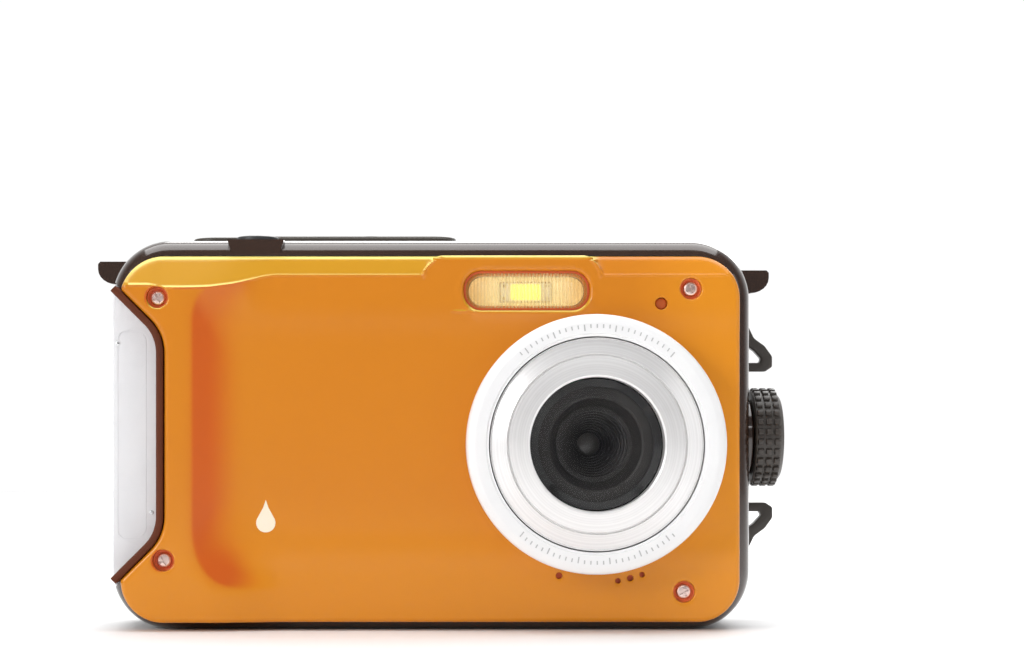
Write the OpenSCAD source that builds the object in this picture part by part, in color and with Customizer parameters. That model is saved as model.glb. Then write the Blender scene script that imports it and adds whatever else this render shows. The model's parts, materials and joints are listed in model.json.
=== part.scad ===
// Waterproof compact action camera. Front faces -Y, +X is the viewer's right, +Z is up.
// The origin is the centre of the tripod socket's mouth, on the flat underside.

/* [Body] */
// Width of the housing
body_w = 103.6; // [102:0.1:106]
// Height of the housing
body_h = 63.1; // [62.8:0.1:64]
// Corner radius of the housing seen from the front
body_r = 9.5; // [8.5:0.1:10]
// Wall thickness of the housing and rear cover
wall = 2.2; // [1.8:0.1:2.4]
// Radius that rounds the rim's front edge
rim_fillet = 3.4; // [2.5:0.1:3.6]
// Distance from the socket's axis back to the joint with the rear cover
joint_y = 9; // [8.8:0.1:9.4]
// Distance from the socket's axis back to the rear face
rear_y = 13; // [12.8:0.1:14]
// Distance from the socket's axis forward to the rim's front edge
rim_y = 10.4; // [10.2:0.1:10.8]

/* [Front cover] */
// Forward position of the front cover's main face
face_y = 12; // [11.8:0.1:12.4]
// Forward position of the raised grip strip
strip_y = 13.6; // [13:0.1:14]
// Width of the front cover
cover_w = 99.4; // [97:0.1:100]
// Height of the front cover
cover_h = 59; // [57:0.1:60]
// Corner radius of the front cover
cover_r = 6.8; // [6:0.1:8]

/* [Finger notch] */
// Distance from the centre line to the notch's straight edge
notch_x = 42.8; // [42:0.1:44]
// Half the length of the notch's straight edge
notch_half = 13.1; // [11:0.1:14]
// Radius where the notch's edges meet
notch_r = 7.5; // [6:0.1:9]
// Thickness of the dark grip liner
liner_t = 1.2; // [1:0.1:1.5]
// Forward position of the grip insert's face
insert_y = 7.4; // [7:0.1:7.6]

/* [Lens] */
// Sideways position of the lens axis
lens_x = 26.2; // [25.5:0.1:27]
// Height of the lens axis
lens_z = 30; // [29:0.1:31.5]
// Outer radius of the lens trim ring
trim_r = 20.6; // [20:0.1:21]
// Radius of the lens window
window_r = 10.5; // [10:0.1:10.5]

/* [Side cover] */
// Height of the knob's axis
knob_z = 31.2; // [31:0.1:31.4]
// Radius of the knob
knob_r = 8.15; // [7.5:0.05:8.5]
// Half the height of the side cover
door_half = 26.8; // [26.5:0.1:26.9]
// Width of the side cover
door_w = 13.6; // [13.2:0.1:13.8]

/* [Tripod socket] */
// Minor radius of the 1/4-20 UNC thread
tripod_r = 2.6; // [2.55:0.01:2.65]
// Depth of the tripod socket
tripod_depth = 5; // [4.5:0.1:5]

/* [Buttons] */
// Radius of the shutter button
shutter_r = 3.45; // [3:0.05:3.6]
// Radius of the round rear keys
key_r = 2.9; // [2.5:0.1:3]
// How far the keys stand out of the rear cover
key_proud = 0.7; // [0.5:0.1:1]

/* [Hidden] */
$fn = 64;
gap = 0.1;
// A cut that starts here passes through everything in front of the axis
ahead = -20;
mid_z = body_h / 2;
inner_w = body_w - 2 * wall;
inner_h = body_h - 2 * wall;
seat_y = 9.6;
front_wall_y = 7.8;
cover_z = 1.4 + cover_h / 2;
// Radii of the holes for the front screws' shafts and of the shafts themselves
pilot_r = 0.85;
shaft_r = 0.8;
bevel_foot_z = 60.6;
// Screws through the front cover: sideways and height of each
front_screws_at = [[-43.8, 53.5], [41.8, 55], [-42.8, 11.4], [40.7, 6.3]];
rear_screws_at = [[-45.5, 5.6], [45.5, 5.6], [-45.5, 57.5], [45.5, 57.5]];
front_head_y = 11.5;
strip_head_y = 12.6;
boss_end_y = 6.2;
screw_head_r = 1.16;
screw_well_r = 1.72;
// Flash window: sideways, height, width, height and corner radius
flash_x = 15.4;
flash_z = 54.7;
flash_w = 20.3;
flash_h = 6.4;
flash_r = 2.9;
indicator_at = [37, 52.6];
microphone_at = [20.6, 8.9];
speaker_at = [32, 8.5];
sound_holes = [[30.06, 8.07, 0.43], [32.02, 8.52, 0.5], [33.93, 9.08, 0.43]];
shutter_at = [-28.3, -5.4];
shutter_top = 63.9;
power_at = [-10, 4.1];
pad_top = 64.6;
lcd_x = 17.5;
lcd_z = 32;
lcd_w = 59;
lcd_h = 46;
keys_x = -28.5;
keys_z = 33;
key_pitch = 8.5;
key_floor_y = 10.2;
key_flange_r = key_r + 0.5;
cell_r = 5.25;
cell_l = 44.4;
cell_x = 4.7;
lower_cell_z = knob_z - 19.7;
upper_cell_z = knob_z + 19.7;
tray_t = 0.6;
door_x = 49.6;
seat_x = 49.5;
screw_r = 2.5;
running = 0.05;
lug_root_x = 49.8;
lug_front_y = 9.6;
lug_back_y = 11.8;

// ---- shared shapes ----
module along_y(y0, y1) {
  translate([0, y1, 0]) rotate([90, 0, 0]) linear_extrude(y1 - y0) children();
}
module along_x(x0, x1) {
  translate([x0, 0, 0]) rotate([90, 0, 90]) linear_extrude(x1 - x0) children();
}
module along_z(z0, z1) {
  translate([0, 0, z0]) linear_extrude(z1 - z0) children();
}
module rounded_rect(w, h, r) {
  square([w - 2 * r, h], center = true);
  square([w, h - 2 * r], center = true);
  for (sx = [-1, 1], sy = [-1, 1]) translate([sx * (w / 2 - r), sy * (h / 2 - r)]) circle(r);
}
// Revolves a profile drawn as (radius, distance forward) about an axis along Y
module turned(x, z) {
  translate([x, 0, z]) rotate([90, 0, 0]) rotate_extrude() children();
}
module peg(x, z, r, y0, y1) {
  along_y(y0, y1) translate([x, z]) circle(r);
}
// A slab whose front edge is rounded all the way round, made of true cylinders and tori
module edge_section(half, depth, f) {
  intersection() {
    union() {
      square([half - f, depth]);
      square([half, depth - f]);
      translate([half - f, depth - f]) circle(f);
    }
    square([half, depth]);
  }
}
module two_sided_section(size, depth, f) {
  edge_section(size / 2, depth, f);
  mirror([1, 0]) edge_section(size / 2, depth, f);
}
module rounded_slab(w, h, r, depth, f) {
  translate([-(w / 2 - r), 0, 0]) rotate([90, 0, 90]) linear_extrude(w - 2 * r)
    rotate(90) two_sided_section(h, depth, f);
  translate([0, 0, -(h / 2 - r)]) linear_extrude(h - 2 * r)
    mirror([0, 1]) two_sided_section(w, depth, f);
  for (quarter = [0:3]) {
    sx = (quarter == 0 || quarter == 3) ? 1 : -1;
    sz = (quarter < 2) ? 1 : -1;
    translate([sx * (w / 2 - r), 0, sz * (h / 2 - r)]) rotate([90, 0, 0])
      rotate([0, 0, 90 * quarter]) rotate_extrude(angle = 90) edge_section(r, depth, f);
  }
}
module body_outline(grow = 0) {
  translate([0, mid_z]) rounded_rect(body_w + 2 * grow, body_h + 2 * grow, body_r + grow);
}
module cover_outline(grow = 0) {
  translate([0, cover_z]) rounded_rect(cover_w + 2 * grow, cover_h + 2 * grow, cover_r + grow);
}
function arc(cx, cy, r, a0, a1, n) =
  [for (i = [0:n]) [cx + r * cos(a0 + (a1 - a0) * i / n), cy + r * sin(a0 + (a1 - a0) * i / n)]];
// The finger notch: a straight edge with slanted ends, open to the left
module notch_outline(grow = 0) {
  r = notch_r + grow;
  cx = -notch_x - notch_r;
  reach = 20;
  upper = arc(cx, mid_z + notch_half, r, 45, 0, 8);
  lower = arc(cx, mid_z - notch_half, r, 0, -45, 8);
  polygon(concat(
    [upper[0] + [-reach, reach]],
    upper,
    lower,
    [lower[8] + [-reach, -reach]]
  ));
}

// ---- casings ----
module front_cover() color("darkorange") difference() {
  union() {
    along_y(-face_y, -seat_y) cover_outline();
    intersection() {
      along_z(0, body_h) polygon([
        [-body_w / 2, -face_y + 0.2],
        [-body_w / 2, -strip_y],
        [-39.6, -strip_y],
        [-38.2, -strip_y + 0.3],
        [-33, -face_y],
        [-33, -face_y + 0.2]
      ]);
      along_y(-strip_y - 1, -seat_y) cover_outline();
    }
  }
  along_y(ahead, 0) notch_outline(gap);
  top_bevel(-body_w / 2, -0.4);
  top_bevel(26.4, body_w / 2);
  peg(lens_x, lens_z, 17.7, ahead, 0);
  along_y(-face_y - 1, -11) translate([flash_x, flash_z]) rounded_rect(flash_w, flash_h, flash_r);
  along_y(ahead, 0) translate([flash_x, flash_z])
    rounded_rect(flash_w - 1.6, flash_h - 1.6, flash_r - 0.8);
  peg(indicator_at[0], indicator_at[1], 1, ahead, 0);
  peg(microphone_at[0], microphone_at[1], 0.53, ahead, 0);
  for (hole = sound_holes) peg(hole[0], hole[1], hole[2], ahead, 0);
  for (i = [0:3]) {
    peg(front_screws_at[i][0], front_screws_at[i][1], screw_well_r, ahead, -front_head(i) + 0.8);
    peg(front_screws_at[i][0], front_screws_at[i][1], pilot_r, ahead, 0);
  }
}
function front_head(i) = (i % 2 == 0) ? strip_head_y : front_head_y;
module top_bevel(x0, x1) {
  along_x(x0, x1) polygon([[-10.6, bevel_foot_z], [-18, bevel_foot_z], [-18, bevel_foot_z - 18]]);
}

module main_housing() color("#151515") difference() {
  union() {
    difference() {
      translate([0, joint_y, mid_z]) rounded_slab(body_w, body_h, body_r, joint_y + rim_y, rim_fillet);
      housing_cavity();
    }
    intersection() {
      housing_bosses();
      along_y(-seat_y, joint_y) body_outline(-0.5);
    }
    peg_up(shutter_at, shutter_r + 1.15, bevel_foot_z, body_h);
    shutter_boss_front();
  }
  along_y(-rim_y - 1, -seat_y) cover_outline(gap);
  along_y(ahead, 2.2) notch_outline(0.05);
  peg(lens_x, lens_z, 10.6, ahead, -front_wall_y + 1);
  along_y(ahead, -front_wall_y + 1) translate([flash_x, flash_z])
    rounded_rect(flash_w - 1, flash_h - 1, flash_r - 0.5);
  peg(indicator_at[0], indicator_at[1], 1.2, ahead, 0);
  peg(microphone_at[0], microphone_at[1], 0.53, ahead, 0);
  for (hole = sound_holes) peg(hole[0], hole[1], hole[2], ahead, -front_wall_y + 1);
  for (at = front_screws_at) peg(at[0], at[1], pilot_r, ahead, -boss_end_y + 1);
  for (at = rear_screws_at) peg(at[0], at[1], pilot_r, 6.5, joint_y + 1);
  // Ledge and windows behind the side cover
  along_x(seat_x, body_w) translate([0, knob_z])
    rounded_rect(door_w + 0.4, 2 * door_half + 0.4, 3.7);
  along_x(45, body_w) for (z = [lower_cell_z, upper_cell_z]) translate([0, z])
    square([11.4, 11.2], center = true);
  along_x(45, body_w) translate([0, 22]) square([11.6, 3], center = true);
  along_x(45, body_w) translate([0, 40]) square([8.4, 3.6], center = true);
  along_x(38, body_w) translate([0, knob_z]) circle(3.6);
  // Button wells
  peg_up(shutter_at, shutter_r + 0.2, 61.5, body_h + 1);
  peg_up(shutter_at, 1.35, 55, body_h + 1);
  peg_up(power_at, 2.8, 62.2, body_h + 1);
  peg_up(power_at, 1.15, 55, body_h + 1);
  peg_up([0, 0], 4.1, -1, tripod_depth + 2);
  along_y(8.2, joint_y + 1) translate([0, mid_z]) difference() {
    rounded_rect(body_w - 1.3, body_h - 1.3, body_r - 0.65);
    rounded_rect(body_w - 3.1, body_h - 3.1, body_r - 1.55);
  }
}
// The boss runs forward to the rim's front edge and narrows downwards
module shutter_boss_front() {
  half = shutter_r + 1.15;
  along_y(-rim_y + 0.2, shutter_at[1]) translate([shutter_at[0], 0]) polygon([
    [-half, body_h],
    [half, body_h],
    [half - 0.8, bevel_foot_z],
    [-half + 0.8, bevel_foot_z]
  ]);
}
module peg_up(at, r, z0, z1) {
  along_z(z0, z1) translate(at) circle(r);
}
module housing_cavity() {
  difference() {
    along_y(-front_wall_y, joint_y + 1) translate([0, mid_z])
      rounded_rect(inner_w, inner_h, body_r - wall);
    along_y(ahead, 4) notch_outline(1.9);
    along_x(47.8, body_w) square([40, 200], center = true);
  }
}
module housing_bosses() {
  for (at = front_screws_at) peg(at[0], at[1], 2.3, -seat_y, -boss_end_y);
  for (at = rear_screws_at) peg(at[0], at[1], 2.4, 6.6, joint_y);
  along_x(40, 48) translate([0, knob_z]) circle(5.2);
  peg_up([0, 0], 6, 0, 4.2);
  peg_up(shutter_at, 2.4, 59.4, 61.8);
  peg_up(power_at, 2.2, 59.4, 61.8);
}

module rear_cover() color("#151515") difference() {
  union() {
    translate([0, joint_y, mid_z]) mirror([0, 1, 0])
      rounded_slab(body_w, body_h, body_r, rear_y - joint_y, 3);
    rear_ear(1, 59.7, 57.8);
    rear_ear(-1, 61.2, 56.9);
  }
  along_y(0, 11) translate([0, mid_z]) rounded_rect(inner_w, inner_h, body_r - wall);
  along_y(0, 20) translate([lcd_x, lcd_z]) rounded_rect(lcd_w - 3, lcd_h - 3, 1);
  along_y(11.8, 20) translate([lcd_x, lcd_z]) rounded_rect(lcd_w, lcd_h, 2.2);
  for (key = [0:5]) peg(key_at(key)[0], key_at(key)[1], key_r + 0.15, 0, 20);
  // Slots that hold the roots of the strap lugs
  along_y(lug_front_y - running, lug_back_y + running) for (side = [-1, 1])
    translate([lug_root_x + 5 - running, knob_z + side * 15.7]) square([10, 9.1], center = true);
  for (at = rear_screws_at) {
    peg(at[0], at[1], screw_head_r + 0.35, 12, 20);
    peg(at[0], at[1], pilot_r, 0, 20);
  }
}
// A flat-topped ear whose outer end curves down into the side of the body
module rear_ear(side, top, tip) {
  under = [for (a = [0:15:90]) [tip - 3.2 + 3.2 * cos(a), top - 1.3 - 2.6 * sin(a)]];
  along_y(9.6, 12) scale([side, 1, 1]) polygon(concat(
    [[42, top - 6], [42, top], [tip - 0.4, top], [tip, top - 0.4]],
    under,
    [[49.5, top - 6]]
  ));
}
function key_at(i) =
  i == 0 ? [keys_x, keys_z + key_pitch] :
  i == 1 ? [keys_x, keys_z - key_pitch] :
  i == 2 ? [keys_x - key_pitch, keys_z] :
  i == 3 ? [keys_x + key_pitch, keys_z] :
  i == 4 ? [keys_x, keys_z] : [keys_x, keys_z + 2.25 * key_pitch];

module housing_gasket() color("dimgray") along_y(8.3, joint_y) translate([0, mid_z]) difference() {
  rounded_rect(body_w - 1.5, body_h - 1.5, body_r - 0.75);
  rounded_rect(body_w - 2.9, body_h - 2.9, body_r - 1.45);
}
module grip_liner() color("#4a4238") intersection() {
  along_y(-strip_y - 0.1, -insert_y - gap) difference() {
    notch_outline(0);
    notch_outline(-liner_t);
  }
  along_y(ahead, 0) body_outline(-1.2);
}
module grip_insert() color("whitesmoke") difference() {
  intersection() {
    along_y(-insert_y, 2.1) notch_outline(-gap);
    along_y(ahead, 20) body_outline();
  }
  intersection() {
    along_y(-insert_y + 1.6, 3) notch_outline(-1.8);
    along_y(ahead, 20) body_outline(-1.8);
  }
}
module screw_group(at, r, head_y, tip_y, side) {
  difference() {
    union() {
      turned(at[0], at[1]) scale([1, side])
        polygon([[0, head_y - 0.75], [r, head_y - 0.75], [r, head_y - 0.25], [r * 0.6, head_y], [0, head_y]]);
      peg(at[0], at[1], shaft_r, min(-side * head_y + side * 0.7, side * -tip_y),
        max(-side * head_y + side * 0.7, side * -tip_y));
    }
    for (turn = [0, 90]) translate([at[0], -side * head_y, at[1]]) rotate([0, turn + 45, 0])
      cube([1.5, 0.9, 0.3], center = true);
  }
}
module front_screws() color("silver")
  for (i = [0:3]) screw_group(front_screws_at[i], screw_head_r, front_head(i), boss_end_y + 0.2, 1);
module rear_screws() color("silver")
  for (at = rear_screws_at) screw_group(at, screw_head_r, 12.8, 6.9, -1);

// ---- lens ----
module lens_trim_ring() color("whitesmoke") turned(lens_x, lens_z) polygon([
  [17.05, seat_y],
  [17.6, seat_y],
  [17.6, face_y],
  [trim_r, face_y],
  [trim_r, 16.2],
  [20.2, 17.3],
  [19.2, 18.2],
  [17.9, 18.7],
  [17.05, 18.7]
]);
module lens_inner_ring() color("silver") turned(lens_x, lens_z) polygon([
  [10.9, 14.2],
  [17, 14.2],
  [17, 18],
  [16.6, 18],
  [14.2, 19.1],
  [13.9, 19.1],
  [10.9, 19.5],
  [10.6, 19.3],
  [10.6, 16.2],
  [10.9, 16.2]
]);
module lens_window() color("lightcyan", 0.4) peg(lens_x, lens_z, window_r, -17.9, -16.4);
module lens_window_seal() color("#202020") turned(lens_x, lens_z)
  translate([9.2, 15.6]) square([1.2, 0.8]);
module lens_baffle() color("#303030") turned(lens_x, lens_z) polygon([
  [7.3, 15.6],
  [10.5, 15.6],
  [10.5, 8],
  [6.8, 8],
  [3, -0.2],
  [2.3, -0.2],
  [5.4, 11.5],
  [6.2, 11.5]
]);
module lens_barrel() color("#202020") turned(lens_x, lens_z) polygon([
  [1.9, -0.4],
  [3.9, -0.4],
  [3.9, -5],
  [2.7, -5],
  [2.7, -1.2],
  [1.9, -1.2]
]);
module front_lens() color("lightsteelblue", 0.5) turned(lens_x, lens_z) intersection() {
  translate([0, -1.3 - 1.5]) square([2.6, 1.5]);
  translate([0, -1.3 - 5]) circle(5);
}
module rear_lens() color("lightsteelblue", 0.5) turned(lens_x, lens_z) intersection() {
  translate([0, -4.4]) square([2.6, 1.2]);
  translate([0, 1.4]) circle(6);
}
module infrared_filter() color("powderblue", 0.5) along_y(4.6, 4.9)
  translate([lens_x, lens_z]) square([3.6, 3.6], center = true);
module image_sensor() color("#3a4a3a") along_y(5.2, 6.4)
  translate([lens_x, lens_z]) square([8, 8], center = true);

// ---- flash, light and sound ----
module flash_window() color("lightyellow", 0.5) {
  along_y(-11.3, -11) translate([flash_x, flash_z])
    rounded_rect(flash_w - 0.2, flash_h - 0.2, flash_r - 0.1);
  along_y(-11, -10) translate([flash_x, flash_z])
    rounded_rect(flash_w - 1.8, flash_h - 1.8, flash_r - 0.9);
}
module flash_reflector() color("gainsboro") translate([flash_x, 0, flash_z]) difference() {
  along_y(-9.9, -7) rounded_rect(flash_w - 1.8, flash_h - 1.8, flash_r - 0.9);
  along_y(-12, -7.5) rounded_rect(flash_w - 3, flash_h - 3, 1.6);
}
module flash_led() color("khaki") along_y(-8.6, -7.5) translate([flash_x, flash_z])
  square([5.4, 3], center = true);
module flash_board() color("seagreen") along_y(-7, -6.2) translate([flash_x, flash_z])
  square([22, 8], center = true);
module indicator_window() color("saddlebrown", 0.6)
  peg(indicator_at[0], indicator_at[1], 0.95, -11.6, -8.2);
module indicator_led() color("khaki") peg(indicator_at[0], indicator_at[1], 1.1, -7.7, -6.4);
module microphone() color("silver")
  peg(microphone_at[0], microphone_at[1], 2, -front_wall_y, -6.3);
module speaker() color("gray") peg(speaker_at[0], speaker_at[1], 4, -front_wall_y, -6.3);

// ---- top ----
module top_pad() color("#262626") difference() {
  union() {
    along_z(body_h, pad_top) translate([-14.5, 4.1]) rounded_rect(37.4, 8.6, 4.2);
    along_z(body_h, pad_top - 0.2) translate([-17.8, 4.1]) rounded_rect(44, 8.6, 4.2);
  }
  peg_up(power_at, 2.8, 0, 80);
}
module shutter_button() color("#303030") {
  difference() {
    peg_up(shutter_at, shutter_r, 62.3, shutter_top);
    translate([shutter_at[0], shutter_at[1], shutter_top + 14.8]) sphere(15, $fn = 96);
  }
  peg_up(shutter_at, 1.2, 59.5, 62.4);
}
module power_button() color("#303030") {
  peg_up(power_at, 2.6, 62.9, pad_top + 0.2);
  peg_up(power_at, 1, 59.5, 63);
}
module shutter_switch() color("silver") along_z(57, 58.7) translate(shutter_at)
  square([4, 4], center = true);
module power_switch() color("silver") along_z(57, 58.7) translate(power_at)
  square([3.6, 3.6], center = true);
module top_board() color("seagreen") along_z(56, 57) translate([-19, -1])
  square([30, 11], center = true);

// ---- screen and keys ----
module lcd_window() color("#101418") along_y(11.9, rear_y - 0.1)
  translate([lcd_x, lcd_z]) rounded_rect(lcd_w - 0.2, lcd_h - 0.2, 2.1);
module lcd_panel() color("slategray") along_y(8.5, 10.9) translate([lcd_x, lcd_z])
  square([58, 44], center = true);
module lcd_bracket() color("silver") along_y(7.9, 8.4) translate([lcd_x, lcd_z]) difference() {
  square([58, 44], center = true);
  square([40, 26], center = true);
}
module key(i) color("#303030") {
  peg(key_at(i)[0], key_at(i)[1], key_r, key_floor_y, rear_y + key_proud);
  peg(key_at(i)[0], key_at(i)[1], key_flange_r, key_floor_y, 10.8);
}
module key_seal() color("dimgray") along_y(8.9, 9.6) translate([keys_x, 37])
  rounded_rect(26, 44, 3);
module key_board() color("seagreen") along_y(8, 8.8) translate([keys_x, 37]) square([25, 43], center = true);
module main_board() color("seagreen") along_y(6.4, 7.6) translate([4, 31.5]) square([84, 42], center = true);
module processor() color("#202020") along_y(5.2, 6.4) translate([-14, 34]) square([12, 12], center = true);

// ---- power, card and side cover ----
module cell(z) {
  along_x(cell_x, cell_x + cell_l - 0.9) translate([0, z]) circle(cell_r);
  along_x(cell_x + cell_l - 1, cell_x + cell_l) translate([0, z]) circle(1.9);
}
module cell_tray(z) {
  along_x(3, 47.4) translate([0, z]) difference() {
    translate([-cell_r - 0.2 - tray_t, -cell_r - 0.2 - tray_t])
      square([2 * (cell_r + 0.2 + tray_t), cell_r + 0.2 + tray_t]);
    translate([-cell_r - 0.2, -cell_r - 0.2]) square([2 * cell_r + 0.4, 20]);
  }
  along_x(2.4, 3) translate([0, z]) square([2 * (cell_r + 0.2 + tray_t), 2 * (cell_r + 0.2 + tray_t)], center = true);
}
module lower_cell() color("goldenrod") cell(lower_cell_z);
module upper_cell() color("goldenrod") cell(upper_cell_z);
module lower_cell_tray() color("#404040") cell_tray(lower_cell_z);
module upper_cell_tray() color("#404040") cell_tray(upper_cell_z);
module cell_springs() color("silver") for (z = [lower_cell_z, upper_cell_z]) {
  translate([3, 0, z]) rotate([0, 90, 0]) rotate_extrude() polygon([
    [3.4, 0],
    [3.9, 0],
    [2.4, cell_x - 3],
    [1.9, cell_x - 3]
  ]);
}
module memory_card() color("#222222") translate([34, -5.5, 21.5]) cube([14.9, 11, 1]);
module card_socket() color("silver") difference() {
  translate([33, -6.4, 20.6]) cube([13.8, 12.8, 2.8]);
  translate([33.8, -5.6, 21.4]) cube([20, 11.2, 1.2]);
}
module usb_socket() color("silver") difference() {
  translate([41.6, -3.9, 38.5]) cube([6, 7.8, 3]);
  translate([43, -3.5, 38.9]) cube([20, 7, 2.2]);
}
module side_cover() color("#1c1c1c") difference() {
  union() {
    intersection() {
      along_x(door_x, body_w / 2) translate([0, knob_z]) rounded_rect(door_w, 2 * door_half, 3.5);
      along_y(ahead, 20) body_outline();
    }
    along_x(body_w / 2 - 0.2, body_w / 2 + 1) translate([0, knob_z]) circle(6.4);
  }
  along_x(0, 80) translate([0, knob_z]) circle(screw_r + 0.3);
  along_x(0, 50.1) translate([0, knob_z]) difference() {
    rounded_rect(door_w - 0.8, 2 * door_half - 0.8, 3.1);
    rounded_rect(door_w - 2.2, 2 * door_half - 2.2, 2.4);
  }
}
module side_cover_seal() color("dimgray") along_x(door_x - 0.05, 50.1) translate([0, knob_z]) difference() {
  rounded_rect(door_w - 0.9, 2 * door_half - 0.9, 3.05);
  rounded_rect(door_w - 2.1, 2 * door_half - 2.1, 2.45);
}
module knob() color("#1c1c1c") translate([0, 0, knob_z]) difference() {
  union() {
    translate([52.95, 0, 0]) rotate([0, 90, 0]) rotate_extrude() polygon([
      [0, 0],
      [knob_r - 0.4, 0],
      [knob_r - 0.3, 0.2],
      [knob_r - 0.3, 4.25],
      [knob_r - 1, 4.75],
      [0, 4.75]
    ]);
    for (i = [0:29]) rotate([i * 12, 0, 0]) for (row = [0:2])
      translate([53.15 + row * 1.4, -0.55, knob_r - 0.6]) cube([1.05, 1.1, 0.6]);
  }
  along_x(50, 56) circle(screw_r);
}
module knob_screw() color("silver") {
  along_x(41, 55.9) translate([0, knob_z]) circle(screw_r);
  along_x(48.7, 49.3) translate([0, knob_z]) circle(3.4);
}
module screw_insert() color("goldenrod") along_x(40.4, 46.4) translate([0, knob_z]) difference() {
  circle(3.6);
  circle(screw_r + running);
}
module strap_lugs() color("#1c1c1c") for (side = [-1, 1]) {
  along_y(lug_front_y, lug_back_y) translate([0, knob_z]) scale([1, side]) difference() {
    polygon([
      [lug_root_x, 11.2],
      [57.2, 11.2],
      [58.4, 12],
      [58.4, 13.8],
      [57.1, 15.6],
      [55.3, 16.9],
      [54.2, 19.2],
      [lug_root_x, 20.2]
    ]);
    polygon([
      [53, 12.7],
      [56.2, 12.7],
      [56.5, 13.4],
      [55.3, 14.7],
      [53, 16.4]
    ]);
  }
}
module tripod_bush() color("goldenrod") difference() {
  peg_up([0, 0], 4.05, 0, tripod_depth);
  peg_up([0, 0], tripod_r, -1, tripod_depth + 1);
}

front_cover();
main_housing();
rear_cover();
housing_gasket();
grip_liner();
grip_insert();
front_screws();
rear_screws();
lens_trim_ring();
lens_inner_ring();
lens_window();
lens_window_seal();
lens_baffle();
lens_barrel();
front_lens();
rear_lens();
infrared_filter();
image_sensor();
flash_window();
flash_reflector();
flash_led();
flash_board();
indicator_window();
indicator_led();
microphone();
speaker();
top_pad();
shutter_button();
power_button();
shutter_switch();
power_switch();
top_board();
lcd_window();
lcd_panel();
lcd_bracket();
key(0);  // up_key
key(1);  // down_key
key(2);  // menu_key
key(3);  // delete_key
key(4);  // ok_key
key(5);  // playback_key
key_seal();
key_board();
main_board();
processor();
lower_cell();
upper_cell();
lower_cell_tray();
upper_cell_tray();
cell_springs();
memory_card();
card_socket();
usb_socket();
side_cover();
side_cover_seal();
knob();
knob_screw();
screw_insert();
strap_lugs();
tripod_bush();
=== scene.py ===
"""Looks of a waterproof compact action camera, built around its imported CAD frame.

Shapes are drawn in millimetres (x to the right, y from the lens to the screen, z up) and turned
into metres as each mesh is made. Sizes and places come from the CAD nodes' boxes.
"""
import json
import math

import bmesh
import bpy
import numpy as np
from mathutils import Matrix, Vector
from mathutils.geometry import delaunay_2d_cdt


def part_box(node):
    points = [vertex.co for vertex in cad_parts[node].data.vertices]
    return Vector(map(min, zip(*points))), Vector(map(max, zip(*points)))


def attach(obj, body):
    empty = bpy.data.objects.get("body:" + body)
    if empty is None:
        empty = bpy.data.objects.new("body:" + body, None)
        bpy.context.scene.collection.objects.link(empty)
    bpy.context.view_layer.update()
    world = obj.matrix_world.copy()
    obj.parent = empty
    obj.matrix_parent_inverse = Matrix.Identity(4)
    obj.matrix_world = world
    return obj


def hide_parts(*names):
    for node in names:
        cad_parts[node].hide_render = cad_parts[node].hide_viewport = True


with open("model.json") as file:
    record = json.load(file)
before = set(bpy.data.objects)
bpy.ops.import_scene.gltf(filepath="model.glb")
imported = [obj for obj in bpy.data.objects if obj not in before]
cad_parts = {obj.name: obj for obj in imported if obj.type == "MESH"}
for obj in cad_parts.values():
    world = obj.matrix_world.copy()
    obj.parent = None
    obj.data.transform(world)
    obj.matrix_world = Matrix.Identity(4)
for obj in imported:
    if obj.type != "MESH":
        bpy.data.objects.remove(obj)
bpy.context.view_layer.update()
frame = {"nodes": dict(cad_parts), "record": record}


MM = 0.001
TURN = 2 * math.pi


# ---------------------------------------------------------------- places taken from the frame
class Span:
    """A CAD node's box in millimetres."""

    def __init__(self, node):
        low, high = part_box(node)
        self.x0, self.y0, self.z0 = (c / MM for c in low)
        self.x1, self.y1, self.z1 = (c / MM for c in high)
        self.x = (self.x0 + self.x1) / 2
        self.y = (self.y0 + self.y1) / 2
        self.z = (self.z0 + self.z1) / 2
        self.w = self.x1 - self.x0
        self.d = self.y1 - self.y0
        self.h = self.z1 - self.z0


HOUSING = Span("main_housing")
COVER = Span("front_cover")
LINER = Span("grip_liner")
INSERT = Span("grip_insert")
TRIM = Span("lens_trim_ring")
INNER = Span("lens_inner_ring")
GLASS = Span("lens_window")
FLASH = Span("flash_window")
PAD = Span("top_pad")
SHUTTER = Span("shutter_button")
KNOB = Span("knob")


# ---------------------------------------------------------------- mesh helpers
def new_piece(name, vertices, faces, sharp=32):
    """An object from vertices in millimetres, smooth shaded but for edges sharper than the angle."""
    mesh = bpy.data.meshes.new(name)
    mesh.from_pydata([Vector(v) * MM for v in vertices], [], faces)
    bm = bmesh.new()
    bm.from_mesh(mesh)
    bmesh.ops.remove_doubles(bm, verts=bm.verts, dist=1e-7)
    bmesh.ops.recalc_face_normals(bm, faces=bm.faces)
    bm.to_mesh(mesh)
    bm.free()
    return add_object(name, mesh, sharp)


def add_object(name, mesh, sharp=32):
    piece = bpy.data.objects.new(name, mesh)
    bpy.context.scene.collection.objects.link(piece)
    return shade(piece, sharp)


def shade(piece, sharp=32):
    piece.data.shade_smooth()
    piece.data.set_sharp_from_angle(angle=math.radians(sharp))
    return piece


def apply_modifiers(piece):
    depsgraph = bpy.context.evaluated_depsgraph_get()
    mesh = bpy.data.meshes.new_from_object(piece.evaluated_get(depsgraph))
    old = piece.data
    piece.modifiers.clear()
    piece.data = mesh
    bpy.data.meshes.remove(old)


def bevel(piece, width, segments=3, angle=40):
    """Rounds the piece's sharp edges by width millimetres."""
    modifier = piece.modifiers.new("round", "BEVEL")
    modifier.width = width * MM
    modifier.segments = segments
    modifier.limit_method = "ANGLE"
    modifier.angle_limit = math.radians(angle)
    apply_modifiers(piece)
    return shade(piece)


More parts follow.
